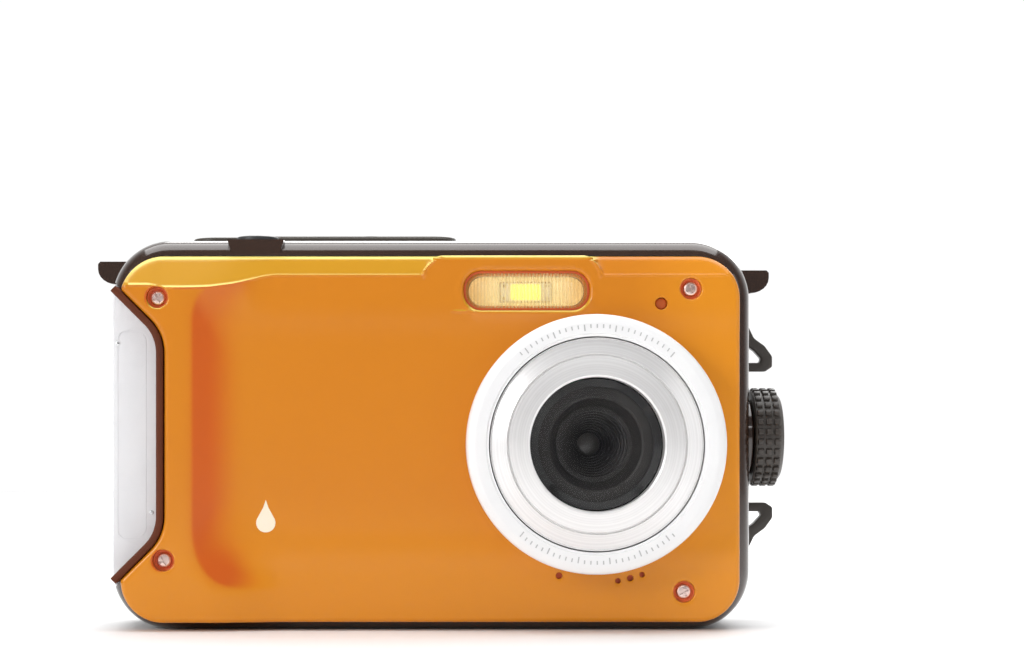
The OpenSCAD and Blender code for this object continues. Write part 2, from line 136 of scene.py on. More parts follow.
def cut(piece, tool, operation="DIFFERENCE"):
    """Takes the tool's shape out of the piece, or keeps only what lies inside it."""
    modifier = piece.modifiers.new("cut", "BOOLEAN")
    modifier.operation = operation
    modifier.solver = "EXACT"
    modifier.object = tool
    apply_modifiers(piece)
    bpy.data.objects.remove(tool)
    return shade(piece)


def join(name, parts):
    """One object that holds several separate shells."""
    bm = bmesh.new()
    for part in parts:
        bm.from_mesh(part.data)
        bpy.data.objects.remove(part)
    mesh = bpy.data.meshes.new(name)
    bm.to_mesh(mesh)
    bm.free()
    return add_object(name, mesh)


def arc(cx, cy, r, start, end, n):
    """Points round (cx, cy) from one angle to another, in degrees."""
    angles = [math.radians(start + (end - start) * i / n) for i in range(n + 1)]
    return [(cx + r * math.cos(a), cy + r * math.sin(a)) for a in angles]


def circle(x, z, r, n):
    return arc(x, z, r, 0, 360 - 360 / n, n - 1)


def rounded_rect(cx, cz, w, h, r, n=10):
    """Outline of a rectangle with round corners, anticlockwise from the right-hand side."""
    x, z = w / 2 - r, h / 2 - r
    return (
        arc(cx + x, cz + z, r, 0, 90, n)
        + arc(cx - x, cz + z, r, 90, 180, n)
        + arc(cx - x, cz - z, r, 180, 270, n)
        + arc(cx + x, cz - z, r, 270, 360, n)
    )


def grow(outline, extra):
    """A rounded rectangle's centre, sizes and corner radius, grown by extra all round."""
    cx, cz, w, h, r = outline
    return cx, cz, w + 2 * extra, h + 2 * extra, r + extra


def round_corners(points, radii, n=6):
    """A profile with its corners rounded; radii has one entry a point, and 0 keeps it sharp."""
    out = []
    for i, point in enumerate(points):
        r = radii[i]
        if r == 0 or i in (0, len(points) - 1):
            out.append(tuple(point))
            continue
        p, a, b = (np.array(q, float) for q in (point, points[i - 1], points[i + 1]))
        u, v = (a - p) / np.linalg.norm(a - p), (b - p) / np.linalg.norm(b - p)
        half = math.acos(max(-1, min(1, float(u @ v)))) / 2
        reach = min(r / math.tan(half), 0.49 * np.linalg.norm(a - p), 0.49 * np.linalg.norm(b - p))
        for k in range(n + 1):
            t = k / n
            out.append(tuple((1 - t) ** 2 * (p + u * reach) + 2 * t * (1 - t) * p + t * t * (p + v * reach)))
    return out


def densify(points, step):
    """Adds points so that no stretch is longer than step."""
    out = [points[0]]
    for a, b in zip(points, points[1:]):
        n = max(1, math.ceil(math.dist(a, b) / step))
        out += [(a[0] + (b[0] - a[0]) * k / n, a[1] + (b[1] - a[1]) * k / n) for k in range(1, n + 1)]
    return out


def point_at(axis, a, b, along):
    """The point at (a, b) in the plane across an axis, and at a distance along it."""
    return {"x": (along, a, b), "y": (a, along, b), "z": (a, b, along)}[axis]


def ring_faces(a, b, n):
    """Faces between two closed rings of n points that start at vertices a and b."""
    return [(a + i, a + (i + 1) % n, b + (i + 1) % n, b + i) for i in range(n)]


def lathe(name, profile, centre, axis="y", n=160, sharp=32):
    """Revolves (radius, distance) points about an axis. Along y the distance runs forward."""
    m = len(profile)
    forward = -1 if axis == "y" else 1
    closed_on_axis = profile[0][0] < 1e-6 and profile[-1][0] < 1e-6
    verts, faces = [], []
    for k in range(n):
        c, s = math.cos(TURN * k / n), math.sin(TURN * k / n)
        verts += [point_at(axis, centre[0] + r * c, centre[1] + r * s, forward * d) for r, d in profile]
        ring = ring_faces(k * m, (k + 1) % n * m, m)
        faces += ring[:-1] if closed_on_axis else ring
    piece = new_piece(name, verts, faces, sharp)
    bm = bmesh.new()
    bm.from_mesh(piece.data)
    bmesh.ops.remove_doubles(bm, verts=bm.verts, dist=2e-7)
    bmesh.ops.dissolve_degenerate(bm, edges=bm.edges, dist=1e-8)
    bmesh.ops.recalc_face_normals(bm, faces=bm.faces)
    bm.to_mesh(piece.data)
    bm.free()
    return shade(piece, sharp)


def prism(name, outline, low, high, axis="y"):
    """A flat outline pushed out along an axis, from low to high."""
    n = len(outline)
    verts = [point_at(axis, *p, along) for along in (low, high) for p in outline]
    faces = [tuple(range(n)), tuple(range(2 * n - 1, n - 1, -1))]
    return new_piece(name, verts, faces + ring_faces(0, n, n))


def peg(name, x, z, r, y0, y1, n=48):
    return prism(name, circle(x, z, r, n), y0, y1)


def place_piece(piece, body, slot, material, *nodes):
    """Rides on a body, takes a finish and the place of CAD nodes; the record slot it is given is not used."""
    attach(piece, body)
    if nodes:
        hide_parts(*nodes)
    piece.data.materials.clear()
    piece.data.materials.append(material)


# ---------------------------------------------------------------- materials
def node(made, kind, **settings):
    """A shader node; each setting is a property of the node or one of its inputs."""
    added = made.node_tree.nodes.new(kind)
    for key, value in settings.items():
        if hasattr(added, key):
            setattr(added, key, value)
        else:
            added.inputs[key].default_value = value
    return added


def link(made, output, socket):
    made.node_tree.links.new(output, socket)


def shader_input(made, name):
    return made.node_tree.nodes["Principled BSDF"].inputs[name]


def material(name, colour, roughness=0.4, metallic=0.0, **sockets):
    """A Principled material; sockets are set by their names with _ for a space."""
    made = bpy.data.materials.new(name)
    made.use_nodes = True
    shader_input(made, "Base Color").default_value = (*colour, 1)
    shader_input(made, "Roughness").default_value = roughness
    shader_input(made, "Metallic").default_value = metallic
    for key, value in sockets.items():
        shader_input(made, key.replace("_", " ")).default_value = value
    return made


def object_noise(made, scale, detail=4.0, roughness=0.5):
    """Noise fixed to the piece itself; scale is in repeats a metre."""
    where = node(made, "ShaderNodeTexCoord")
    noise = node(made, "ShaderNodeTexNoise", Scale=scale, Detail=detail, Roughness=roughness)
    link(made, where.outputs["Object"], noise.inputs["Vector"])
    return noise.outputs["Fac"]


def colour_ramp(made, value, dark, light, low, high):
    """A colour that runs from dark to light as the value goes from low to high."""
    ramp = node(made, "ShaderNodeValToRGB")
    for stop, place, colour in zip(ramp.color_ramp.elements, (low, high), (dark, light)):
        stop.position = place
        stop.color = (*colour, 1)
    link(made, value, ramp.inputs["Fac"])
    return ramp.outputs["Color"]


def spread(made, value, low, high, start=0.0, end=1.0, curve="LINEAR"):
    """Maps a value's run from start to end onto low to high."""
    mapped = node(made, "ShaderNodeMapRange", interpolation_type=curve)
    for socket, limit in (("From Min", start), ("From Max", end), ("To Min", low), ("To Max", high)):
        mapped.inputs[socket].default_value = limit
    link(made, value, mapped.inputs["Value"])
    return mapped.outputs["Result"]


def vary_colour(made, dark, light, scale):
    """Blends two close colours by noise."""
    blend = colour_ramp(made, object_noise(made, scale), dark, light, 0.35, 0.65)
    link(made, blend, shader_input(made, "Base Color"))


def vary_roughness(made, low, high, scale):
    noise = object_noise(made, scale, 6.0, 0.6)
    link(made, spread(made, noise, low, high, 0.3, 0.7), shader_input(made, "Roughness"))


def bump(made, height, strength, distance):
    """Bump from a height socket; the distance is in millimetres."""
    bumped = node(made, "ShaderNodeBump", Strength=strength, Distance=distance * MM)
    link(made, height, bumped.inputs["Height"])
    link(made, bumped.outputs["Normal"], shader_input(made, "Normal"))


def moulded(name, dark, light, low, high, grain=2600, depth=0.02, strength=0.25, **sockets):
    """Moulded plastic or rubber: slight colour drift, uneven gloss and a fine grain."""
    made = material(name, light, (low + high) / 2, **sockets)
    vary_colour(made, dark, light, 60)
    vary_roughness(made, low, high, 240)
    bump(made, object_noise(made, grain, 3), strength, depth)
    return made


def metal(name, dark, light, low, high, grain):
    made = material(name, light, (low + high) / 2, 1.0)
    vary_colour(made, dark, light, 80)
    vary_roughness(made, low, high, 300)
    bump(made, object_noise(made, grain, 3), 0.2, 0.01)
    return made


def spun_metal(name, dark, light, low, high, centre, pitch):
    """Metal turned about an axis along y: fine rings round the centre, given in millimetres."""
    made = material(name, light, (low + high) / 2, 0.45)
    where = node(made, "ShaderNodeTexCoord")
    offset = node(made, "ShaderNodeVectorMath", operation="SUBTRACT")
    offset.inputs[1].default_value = (centre[0] * MM, 0, centre[1] * MM)
    flat = node(made, "ShaderNodeVectorMath", operation="MULTIPLY")
    flat.inputs[1].default_value = (1, 0, 1)
    length = node(made, "ShaderNodeVectorMath", operation="LENGTH")
    rings = node(made, "ShaderNodeTexNoise", noise_dimensions="1D", Scale=1 / (pitch * MM), Detail=3.0)
    link(made, where.outputs["Object"], offset.inputs[0])
    link(made, offset.outputs["Vector"], flat.inputs[0])
    link(made, flat.outputs["Vector"], length.inputs[0])
    link(made, length.outputs["Value"], rings.inputs["W"])
    tone = rings.outputs["Fac"]
    link(made, colour_ramp(made, tone, dark, light, 0.3, 0.7), shader_input(made, "Base Color"))
    link(made, spread(made, tone, low, high), shader_input(made, "Roughness"))
    bump(made, tone, 0.25, 0.01)
    return made


def clear(name, colour, alpha, roughness):
    made = material(name, colour, roughness, Alpha=alpha)
    vary_roughness(made, roughness, roughness + 0.05, 200)
    return made


def paint_light_tone(made, tone, *limits):
    """Paints light or shade into the base colour: blends it to a tone where the surface turns a certain way
    in a certain place.

    Each limit is (Normal or Object, axis, value with no tone, value with full tone), with Object in
    millimetres.
    """
    before = shader_input(made, "Base Color").links[0].from_socket
    sources = {
        "Normal": node(made, "ShaderNodeNewGeometry").outputs["Normal"],
        "Object": node(made, "ShaderNodeTexCoord").outputs["Object"],
    }
    total = None
    for kind, axis, none, full in limits:
        unit = MM if kind == "Object" else 1
        split = node(made, "ShaderNodeSeparateXYZ")
        link(made, sources[kind], split.inputs["Vector"])
        share = spread(made, split.outputs[axis], 0, 1, none * unit, full * unit, "SMOOTHSTEP")
        if total is not None:
            both = node(made, "ShaderNodeMath", operation="MULTIPLY")
            link(made, total, both.inputs[0])
            link(made, share, both.inputs[1])
            share = both.outputs[0]
        total = share
    blend = node(made, "ShaderNodeMix", data_type="RGBA")
    link(made, total, blend.inputs["Factor"])
    link(made, before, blend.inputs[6])
    blend.inputs[7].default_value = (*tone, 1)
    link(made, blend.outputs[2], shader_input(made, "Base Color"))


def cover_orange():
    """The cover's gloss, with painted light and shade: painted shade (redder) on the walls of the pocket by
    the grip, a painted highlight (yellower) on the top band, and painted light that brightens the face low
    down and on the right side.
    """
    made = moulded(
        "orange_gloss", (0.645, 0.212, 0.010), (0.65, 0.215, 0.0105), 0.29, 0.3, 500, 0.004, 0.05,
        Coat_Weight=0.18, Coat_Roughness=0.12, IOR=1.38,
    )
    low_face = ("Object", "Z", 24, 8)
    right_side = ("Object", "X", 30, 46)
    off_the_grip = ("Object", "X", -42, -40)
    top_band = ("Object", "Z", 46, 50)
    left_of_block_end = ("Object", "X", 27.5, 25.5)
    painted_pocket_shade = (0.60, 0.108, 0.008)
    painted_tones = [
        # painted light: brighter and warmer low on the face, offsetting the floor's reflection there
        ((0.70, 0.245, 0.008), low_face),
        # painted light: brighter towards the right side, where less light falls
        ((0.75, 0.268, 0.011), right_side),
        # painted shade on the pocket's right-facing wall and round its lower corner
        (painted_pocket_shade, ("Normal", "X", 0.01, 0.26), ("Object", "X", -27, -33), ("Object", "Z", 6.5, 10.5)),
        (painted_pocket_shade, ("Normal", "Z", 0.01, 0.14), ("Object", "X", -26, -33), off_the_grip,
         ("Object", "Z", 17, 12), ("Object", "Z", 6.0, 8.0)),
        # painted shade on the down-facing wall at the pocket's top
        ((0.61, 0.14, 0.004), ("Normal", "Z", -0.02, -0.2), ("Object", "X", -29, -35), off_the_grip,
         ("Object", "Z", 45, 50)),
        # painted highlight: yellower where the top band faces up, yellow-white along its rolled edge
        ((0.62, 0.30, 0.014), ("Normal", "Z", 0.1, 0.4), top_band, left_of_block_end),
        ((0.92, 0.72, 0.16), ("Normal", "Z", 0.48, 0.7), top_band, left_of_block_end),
    ]
    for tone, *limits in painted_tones:
        paint_light_tone(made, tone, *limits)
    return made


def ribbed_diffuser():
    """Clear warm plastic with painted shade towards its ends, and fine upright ribs that show in its alpha.
    """
    made = clear("ribbed_diffuser", (1.0, 0.87, 0.48), 0.30, 0.1)
    vary_colour(made, (1.0, 0.88, 0.50), (1.0, 0.86, 0.46), 60)
    # painted shade: the plastic darkens towards each end
    for side in (-1, 1):
        paint_light_tone(made, (0.66, 0.36, 0.13), ("Object", "X", FLASH.x + 4.5 * side, FLASH.x + 9.5 * side))
    bands_a_turn = 20
    ribs = node(made, "ShaderNodeTexWave", bands_direction="X", Scale=TURN / (bands_a_turn * RIB_PITCH * MM))
    link(made, node(made, "ShaderNodeTexCoord").outputs["Object"], ribs.inputs["Vector"])
    link(made, spread(made, ribs.outputs["Fac"], 0.23, 0.37), shader_input(made, "Alpha"))
    return made


def trim_white():
    made = material("white_trim", (0.89, 0.89, 0.89), 0.36, 0.0, Coat_Weight=0.3, Coat_Roughness=0.25)
    vary_colour(made, (0.875, 0.875, 0.88), (0.905, 0.905, 0.905), 90)
    vary_roughness(made, 0.32, 0.42, 400)
    bump(made, object_noise(made, 4200, 2), 0.25, 0.01)
    return made


LENS_AXIS = (TRIM.x, TRIM.z)
RIB_PITCH = 0.56

ORANGE = cover_orange()
# Painted shade: a deep red-orange for the sound-hole floors and the rim inside the flash opening.
PAINTED_SHADE_ORANGE = moulded("orange_painted_shade", (0.50, 0.075, 0.012), (0.56, 0.09, 0.014), 0.4, 0.5, 1500, 0.01, 0.1)
# Painted glow: a bright red-orange for the rings in the front screw wells, standing in for light bounced
# round them.
WELL_GLOW_ORANGE = moulded("orange_well_painted_glow", (0.80, 0.17, 0.06), (0.86, 0.20, 0.075), 0.35, 0.45, 1500, 0.01, 0.1)
BLACK = moulded(
    "black_gloss", (0.033, 0.0155, 0.009), (0.039, 0.0185, 0.011), 0.12, 0.18, 500, 0.008, 0.06,
    Coat_Weight=0.8, Coat_Roughness=0.04, Specular_IOR_Level=0.6,
)
PAD_BLACK = moulded("pad_satin", (0.048, 0.039, 0.029), (0.066, 0.054, 0.041), 0.42, 0.55, 3200, 0.03, 0.35)
KNOB_BLACK = moulded("knob_satin", (0.038, 0.031, 0.026), (0.054, 0.045, 0.038), 0.34, 0.46, 3000, 0.03, 0.35)
KEY_BLACK = moulded("key_satin", (0.03, 0.03, 0.031), (0.045, 0.045, 0.046), 0.38, 0.5, 3000, 0.02, 0.3)
LINER_DARK = moulded(
    "liner_rubber", (0.10, 0.024, 0.009), (0.13, 0.032, 0.012), 0.5, 0.6, 2400, 0.02, 0.25,
    Specular_IOR_Level=0.2,
)
PALE = moulded(
    "pale_satin", (0.82, 0.83, 0.85), (0.88, 0.885, 0.9), 0.3, 0.4, 2400, 0.012, 0.2,
    Coat_Weight=0.2, Coat_Roughness=0.2,
)
SEAL_RUBBER = moulded("seal_rubber", (0.03, 0.03, 0.03), (0.045, 0.045, 0.045), 0.6, 0.75, 2600)
BAFFLE_BLACK = moulded(
    "baffle_black", (0.014, 0.012, 0.011), (0.018, 0.016, 0.014), 0.55, 0.65, 900, 0.01, 0.1
)
WHITE_RING = trim_white()
SPUN = spun_metal("spun_trim", (0.80, 0.79, 0.785), (0.88, 0.87, 0.865), 0.24, 0.36, LENS_AXIS, 0.3)
STEEL = metal("screw_steel", (0.62, 0.62, 0.63), (0.78, 0.78, 0.78), 0.2, 0.32, 3000)
COPPERED = metal("screw_coppered", (0.80, 0.60, 0.54), (0.90, 0.72, 0.67), 0.28, 0.4, 3000)
BRASS = metal("brass", (0.60, 0.42, 0.16), (0.74, 0.55, 0.24), 0.2, 0.34, 2500)
LENS_GLASS = material("lens_glass", (0.12, 0.106, 0.096), 0.3, Coat_Weight=0.4, Coat_Roughness=0.15)
vary_roughness(LENS_GLASS, 0.28, 0.34, 200)
WINDOW = clear("window_glass", (0.20, 0.20, 0.21), 0.025, 0.03)
DIFFUSER = ribbed_diffuser()
AMBER = clear("amber_window", (0.56, 0.115, 0.022), 0.97, 0.25)
# The reflector's emission is a painted glow; it is no lamp.
GLOWING_REFLECTOR = moulded(
    "flash_reflector", (0.95, 0.80, 0.42), (1.0, 0.86, 0.52), 0.25, 0.35, 1500, 0.01, 0.1,
    Emission_Color=(1.0, 0.80, 0.38, 1), Emission_Strength=0.22,
)
# The phosphor's emission is a painted glow, not a lit lamp.
GLOWING_PHOSPHOR = moulded(
    "led_phosphor", (0.95, 0.82, 0.12), (1.0, 0.92, 0.22), 0.4, 0.5, 2500, 0.02, 0.2,
    Emission_Color=(1.0, 0.85, 0.10, 1), Emission_Strength=0.75,
)
LED_FRAME = moulded("led_frame", (0.9, 0.86, 0.74), (0.96, 0.93, 0.84), 0.4, 0.5, 2500, 0.02, 0.2)
BOARD = moulded("solder_mask", (0.02, 0.12, 0.05), (0.03, 0.17, 0.07), 0.3, 0.42, 1500)
CHIP = moulded("chip_resin", (0.03, 0.03, 0.032), (0.045, 0.045, 0.048), 0.45, 0.6, 2500)
TRAY = moulded("tray_plastic", (0.05, 0.05, 0.05), (0.07, 0.07, 0.07), 0.45, 0.6, 2500)
CELL = moulded("cell_wrap", (0.42, 0.25, 0.04), (0.5, 0.31, 0.06), 0.25, 0.35, 900, 0.01, 0.1)
SCREEN = material("screen_glass", (0.006, 0.007, 0.009), 0.05, Coat_Weight=1.0, Coat_Roughness=0.02)
vary_roughness(SCREEN, 0.04, 0.09, 40)
VIEW = material("screen_view", (0.014, 0.017, 0.022), 0.08, Coat_Weight=1.0, Coat_Roughness=0.02)
vary_colour(VIEW, (0.012, 0.014, 0.018), (0.017, 0.02, 0.026), 30)
TICK_GREY = moulded("tick_grey", (0.50, 0.50, 0.50), (0.56, 0.56, 0.56), 0.4, 0.5, 3000, 0.01, 0.1)
MARK_WHITE = moulded("mark_white", (0.72, 0.72, 0.72), (0.8, 0.8, 0.8), 0.4, 0.5, 3000, 0.01, 0.1)
MARK_CREAM = moulded("mark_cream", (0.90, 0.80, 0.62), (0.94, 0.85, 0.68), 0.35, 0.45, 3000, 0.01, 0.1)

SLOT_FINISH = {
    "orange_plastic": ORANGE,
    "black_plastic": BLACK,
    "pale_plastic": PALE,
    "liner_rubber": LINER_DARK,
    "seal_rubber": SEAL_RUBBER,
    "screw_steel": STEEL,
    "white_trim": WHITE_RING,
    "brushed_trim": SPUN,
    "clear_glass": WINDOW,
    "lens_glass": LENS_GLASS,
    "baffle_black": BAFFLE_BLACK,
    "chip": CHIP,
    "diffuser": DIFFUSER,
    "reflector": GLOWING_REFLECTOR,
    "led": GLOWING_PHOSPHOR,
    "board": BOARD,
    "amber": AMBER,
    "pad_plastic": PAD_BLACK,
    "key_plastic": KEY_BLACK,
    "knob_plastic": KNOB_BLACK,
    "lug_plastic": KNOB_BLACK,
    "tray_plastic": TRAY,
    "dark_glass": SCREEN,
    "lcd": SCREEN,
    "cell_wrap": CELL,
    "brass_part": BRASS,
}


def finish_cad_nodes():
    """Every CAD node that stays in view takes the finish of its slot in the record."""
    slots = {part["node"]: part["material_slot"] for part in frame["record"]["subparts"]}
    for name, cad_object in frame["nodes"].items():
        cad_object.data.materials.clear()
        cad_object.data.materials.append(SLOT_FINISH[slots[name]])


# ---------------------------------------------------------------- camera, lights and floor
# place, point it faces, size of the panel in metres, and power in watts
LIGHTS = {
    "top_softbox": ((0.0, 0.0, 0.42), (0, 0, 0.03), (0.55, 0.36), 1.8),
    "key_softbox": ((-0.72, -0.6, 0.38), (0, 0, 0.03), (0.34, 0.34), 3.9),
    "right_fill": ((0.8, -0.6, 0.25), (0, 0, 0.03), (0.5, 0.6), 0.95),
    "edge_strip": ((0.0, -0.9, 0.55), (0, 0, 0.05), (0.9, 0.06), 0.9),
    "back_fill": ((0.2, 0.8, 0.6), (0, 0.2, 0.0), (0.8, 0.6), 6.0),
}


def studio():
    """A level camera in front of the object, shifted so that the object sits low and left."""
    scene = bpy.context.scene
    camera = bpy.data.objects.new("camera", bpy.data.cameras.new("camera"))
    scene.collection.objects.link(camera)
    camera.location = Vector((0, -345, 30.7)) * MM
    camera.rotation_euler = (math.radians(90), 0, 0)
    camera.data.sensor_width = 36
    camera.data.lens = 72.9
    camera.data.shift_x = 0.0793
    camera.data.shift_y = 0.1108
    camera.data.clip_start = 0.01
    camera.data.clip_end = 20
    scene.camera = camera
    scene.view_settings.view_transform = "Standard"

    world = bpy.data.worlds.new("studio")
    scene.world = world
    world.use_nodes = True
    split = node(world, "ShaderNodeSeparateXYZ")
    link(world, node(world, "ShaderNodeTexCoord").outputs["Generated"], split.inputs["Vector"])
    depth = spread(world, split.outputs["Y"], 0, 1, -1, 1)
    sky = colour_ramp(world, depth, (0.19, 0.19, 0.195), (1.0, 1.0, 1.0), 0.5, 0.85)
    background = world.node_tree.nodes["Background"]
    link(world, sky, background.inputs["Color"])
    background.inputs["Strength"].default_value = 1.02
    for name, setting in LIGHTS.items():
        area_light(name, *setting)
    floor()


def area_light(name, place, target, size, power):
    lamp = bpy.data.lights.new(name, "AREA")
    lamp.shape = "RECTANGLE"
    lamp.size, lamp.size_y = size
    lamp.energy = power
    made = bpy.data.objects.new(name, lamp)
    bpy.context.scene.collection.objects.link(made)
    made.location = place
    made.rotation_euler = (Vector(target) - Vector(place)).to_track_quat("-Z", "Y").to_euler()


def floor():
    """A wide pale table top."""
    half = 900
    corners = [(-half, -half, 0), (half, -half, 0), (half, half, 0), (-half, half, 0)]
    table = new_piece("floor", corners, [(0, 1, 2, 3)])
    paper = material("floor_paper", (0.9, 0.9, 0.9), 0.8)
    vary_colour(paper, (0.88, 0.88, 0.88), (0.91, 0.91, 0.91), 3)
    table.data.materials.append(paper)


# ---------------------------------------------------------------- outlines shared by several pieces
NOTCH_R = 7.5
NOTCH_HALF = 13.1
NOTCH_X = INSERT.x1 + 0.1
MID_Z = HOUSING.z
BODY_OUTLINE = (HOUSING.x, HOUSING.z, 2 * HOUSING.x1, 2 * HOUSING.z, 9.5)
COVER_OUTLINE = (COVER.x, COVER.z, COVER.w, COVER.h, 6.8)
FLASH_OPENING = (FLASH.x, FLASH.z, 20.3, 6.4, 2.9)


def notch_loop(grown, n=14):
    """The finger notch's edge from its upper open end round to its lower one."""
    cx, reach = NOTCH_X - NOTCH_R, 20
    r = NOTCH_R + grown
    top = arc(cx, MID_Z + NOTCH_HALF, r, 45, 0, n)
    low = arc(cx, MID_Z - NOTCH_HALF, r, 0, -45, n)
    start = (top[0][0] - reach, top[0][1] + reach)
    end = (low[-1][0] - reach, low[-1][1] - reach)
    return densify([start] + top, 0.6) + densify(low + [end], 0.6)


def in_notch(x, z, grown):
    """How far (x, z) is inside the notch's edge; negative outside it."""
    dz = abs(z - MID_Z) - NOTCH_HALF
    cx = NOTCH_X - NOTCH_R
    if dz <= 0:
        return NOTCH_X + grown - x
    angle = math.degrees(math.atan2(dz, x - cx))
    if angle <= 45:
        return NOTCH_R + grown - math.hypot(x - cx, dz)
    return NOTCH_R + grown - ((x - cx) + dz) * math.sqrt(0.5)


def in_rounded(x, z, cx, cz, w, h, r):
    """Distance inside a rounded rectangle's edge; negative outside it."""
    dx, dz = abs(x - cx) - (w / 2 - r), abs(z - cz) - (h / 2 - r)
    if dx > 0 and dz > 0:
        return r - math.hypot(dx, dz)
    return r - max(dx, dz)


def smooth(a, b, x):
    """A soft step from 0 at a to 1 at b."""
    t = max(0.0, min(1.0, (x - a) / (b - a)))
    return t * t * (3 - 2 * t)


def ridge(distance, half_width):
    """A soft ridge of height 1 along a line."""
    return math.exp(-((distance / half_width) ** 2))


# ---------------------------------------------------------------- front cover
FACE = 12.0
STRIP = -COVER.y0
COVER_BACK = -COVER.y1
EDGE = 0.8
NOTCH_GAP = 0.1
STRIP_EDGE = -38.0
POCKET_LOW = 7.0
POCKET_HIGH = 55.6
BLOCK_FOOT = 57.2
LEDGE_Z = 51.35

SCREWS = [(-43.8, 53.5, 12.6), (41.8, 55.0, 11.5), (-42.8, 11.4, 12.6), (40.7, 6.3, 11.5)]
WELL_R = 1.72
WELL_DEPTH = 0.85
SOUND = [(20.6, 8.9, 0.53), (30.06, 8.07, 0.43), (32.02, 8.52, 0.5), (33.93, 9.08, 0.43)]
LED_HOLE = (37.0, 52.6, 1.0)


def pocket_depth_in(x, z):
    """Distance inside the pocket beside the grip strip: left, top and lower edges with round corners."""
    left = x - STRIP_EDGE
    if z > 30:
        reach, side = 5.5, POCKET_HIGH - z
    else:
        reach, side = 9.4, z - POCKET_LOW
    return min(left, side) - max(0.0, reach - abs(left - side)) ** 2 / (4 * reach)


def raised(x, z):
    """Share of the grip strip's height at (x, z): 1 on the strip, 0 on the main face."""
    d = pocket_depth_in(x, z)
    shoulder, length, step = 2.2, 9.6, 0.07
    if d < -shoulder:
        share = 1.0
    elif d < 0:
        share = 1.0 - step * ((d + shoulder) / shoulder) ** 2
    elif d < length:
        share = (1 - step) * (1 - d / length) ** 2.3
    else:
        share = 0.0
    share *= 1 - smooth(-36.5, -24.5, x) * smooth(47, 56.5, z)
    return share * (1 - smooth(-36, -22, x) * smooth(18, 9, z))


def facet_height(x, z, lift):
    """The sloping band along the cover's top edge."""
    wave = 0.22 * (1 - smooth(-45.5, -43.0, x))
    return COVER_BACK + 1.0 + wave + (0.40 + 0.14 * lift) * (COVER.z1 + 0.15 - z)


def facet_foot(x):
    """Height at which the facet runs out into the face."""
    z = 57.0
    for _ in range(16):
        lift = raised(x, z)
        height = FACE + (STRIP - FACE) * lift
        z += 0.9 * (facet_height(x, z, lift) - height)
    return z


def block_ends(z):
    """Where the flash block's curved left and right ends are at a height."""
    rise = z - BLOCK_FOOT
    return -1.0 + 0.14 * rise + 0.24 * rise * rise, 27.3 - 0.1 * rise - 0.2 * rise * rise


def face_height(x, z):
    """How far forward the cover's surface stands at (x, z), before its edges are rounded."""
    lift = raised(x, z)
    height = FACE + (STRIP - FACE) * lift
    left, right = (x - end for end in block_ends(z))
    on_block = smooth(-0.5, 0.9, left) * (1 - smooth(-0.7, 0.5, right))
    facet = facet_height(x, z, lift) + 6 * on_block
    blend = 0.1
    low = min(facet, height) - max(0.0, blend - abs(facet - height)) ** 2 / (4 * blend)
    if z > 52 and on_block < 1:
        low += (0.09 + 0.06 * lift) * ridge(z - facet_foot(x) - 0.12, 0.17) * (1 - on_block)
    for edge in (left, right):
        low += 0.12 * ridge(edge + 0.1, 0.22) * smooth(BLOCK_FOOT - 1, BLOCK_FOOT, z)
    low += 0.12 * ridge(-in_rounded(x, z, *FLASH_OPENING) - 0.55, 0.28)
    return low + 0.16 * ridge(z - LEDGE_Z, 0.2) * smooth(3.0, 4.2, x) * (1 - smooth(20, 25, x))


def fine_rows():
    """Close rows of points along the lips, which the plain grid is too coarse to show."""
    rows = []
    offsets = [0.11 * k for k in range(-5, 7)]
    margin = 1.4
    for x in np.arange(COVER.x0 + margin, COVER.x1 - margin, 0.4):
        foot = facet_foot(x)
        rows += [(x, foot + d) for d in offsets]
    for x in np.arange(2.6, 25.4, 0.4):
        rows += [(x, LEDGE_Z + d) for d in offsets[:-1]]
    for z in np.arange(56.0, 60.0, 0.25):
        rows += [(end - 0.1 + d, z) for end in block_ends(z) for d in offsets]
    return rows


def cover_edge_distance(x, z):
    return min(in_rounded(x, z, *COVER_OUTLINE), -in_notch(x, z, NOTCH_GAP))


def cover_loop(inset):
    """The cover's outline, moved in by inset: a rounded rectangle less the notch."""
    rect = rounded_rect(*grow(COVER_OUTLINE, -inset), 16)
    rect = densify(rect + rect[:1], 0.7)[:-1]
    notch = [p for p in notch_loop(NOTCH_GAP + inset) if in_rounded(*p, *COVER_OUTLINE) > inset + 0.02]
    outside = [i for i, p in enumerate(rect) if in_notch(*p, NOTCH_GAP + inset) < -0.02]
    gap_at = next(k for k in range(len(outside) - 1) if outside[k + 1] - outside[k] > 1)
    ordered = [rect[i] for i in outside[gap_at + 1:] + outside[:gap_at + 1]]
    if math.dist(ordered[-1], notch[0]) > math.dist(ordered[-1], notch[-1]):
        notch.reverse()
    return ordered + notch


class Hole:
    """An opening in the cover.

    It has an outline, a number of points, a rounded edge, side walls that go back to a foot and, in
    some, a ledge that runs in from there.
    """

    def __init__(self, outline, points, edge, foot=COVER_BACK, ledge=0.0):
        self.outline, self.points, self.edge, self.foot, self.ledge = outline, points, edge, foot, ledge

        self.is_round = outline[2] == 2 * outline[4]

    def loop(self, extra=0.0):
        cx, cz, w, h, r = grow(self.outline, extra)
        if self.is_round:
            return circle(cx, cz, r, self.points)
        return rounded_rect(cx, cz, w, h, r, self.points // 4)

    def holds(self, x, z):
        """True where the opening is clear, just inside its own outline."""
        slack = 0.0015 * self.outline[4] if self.is_round else 0.002
        return in_rounded(x, z, *self.outline) > slack


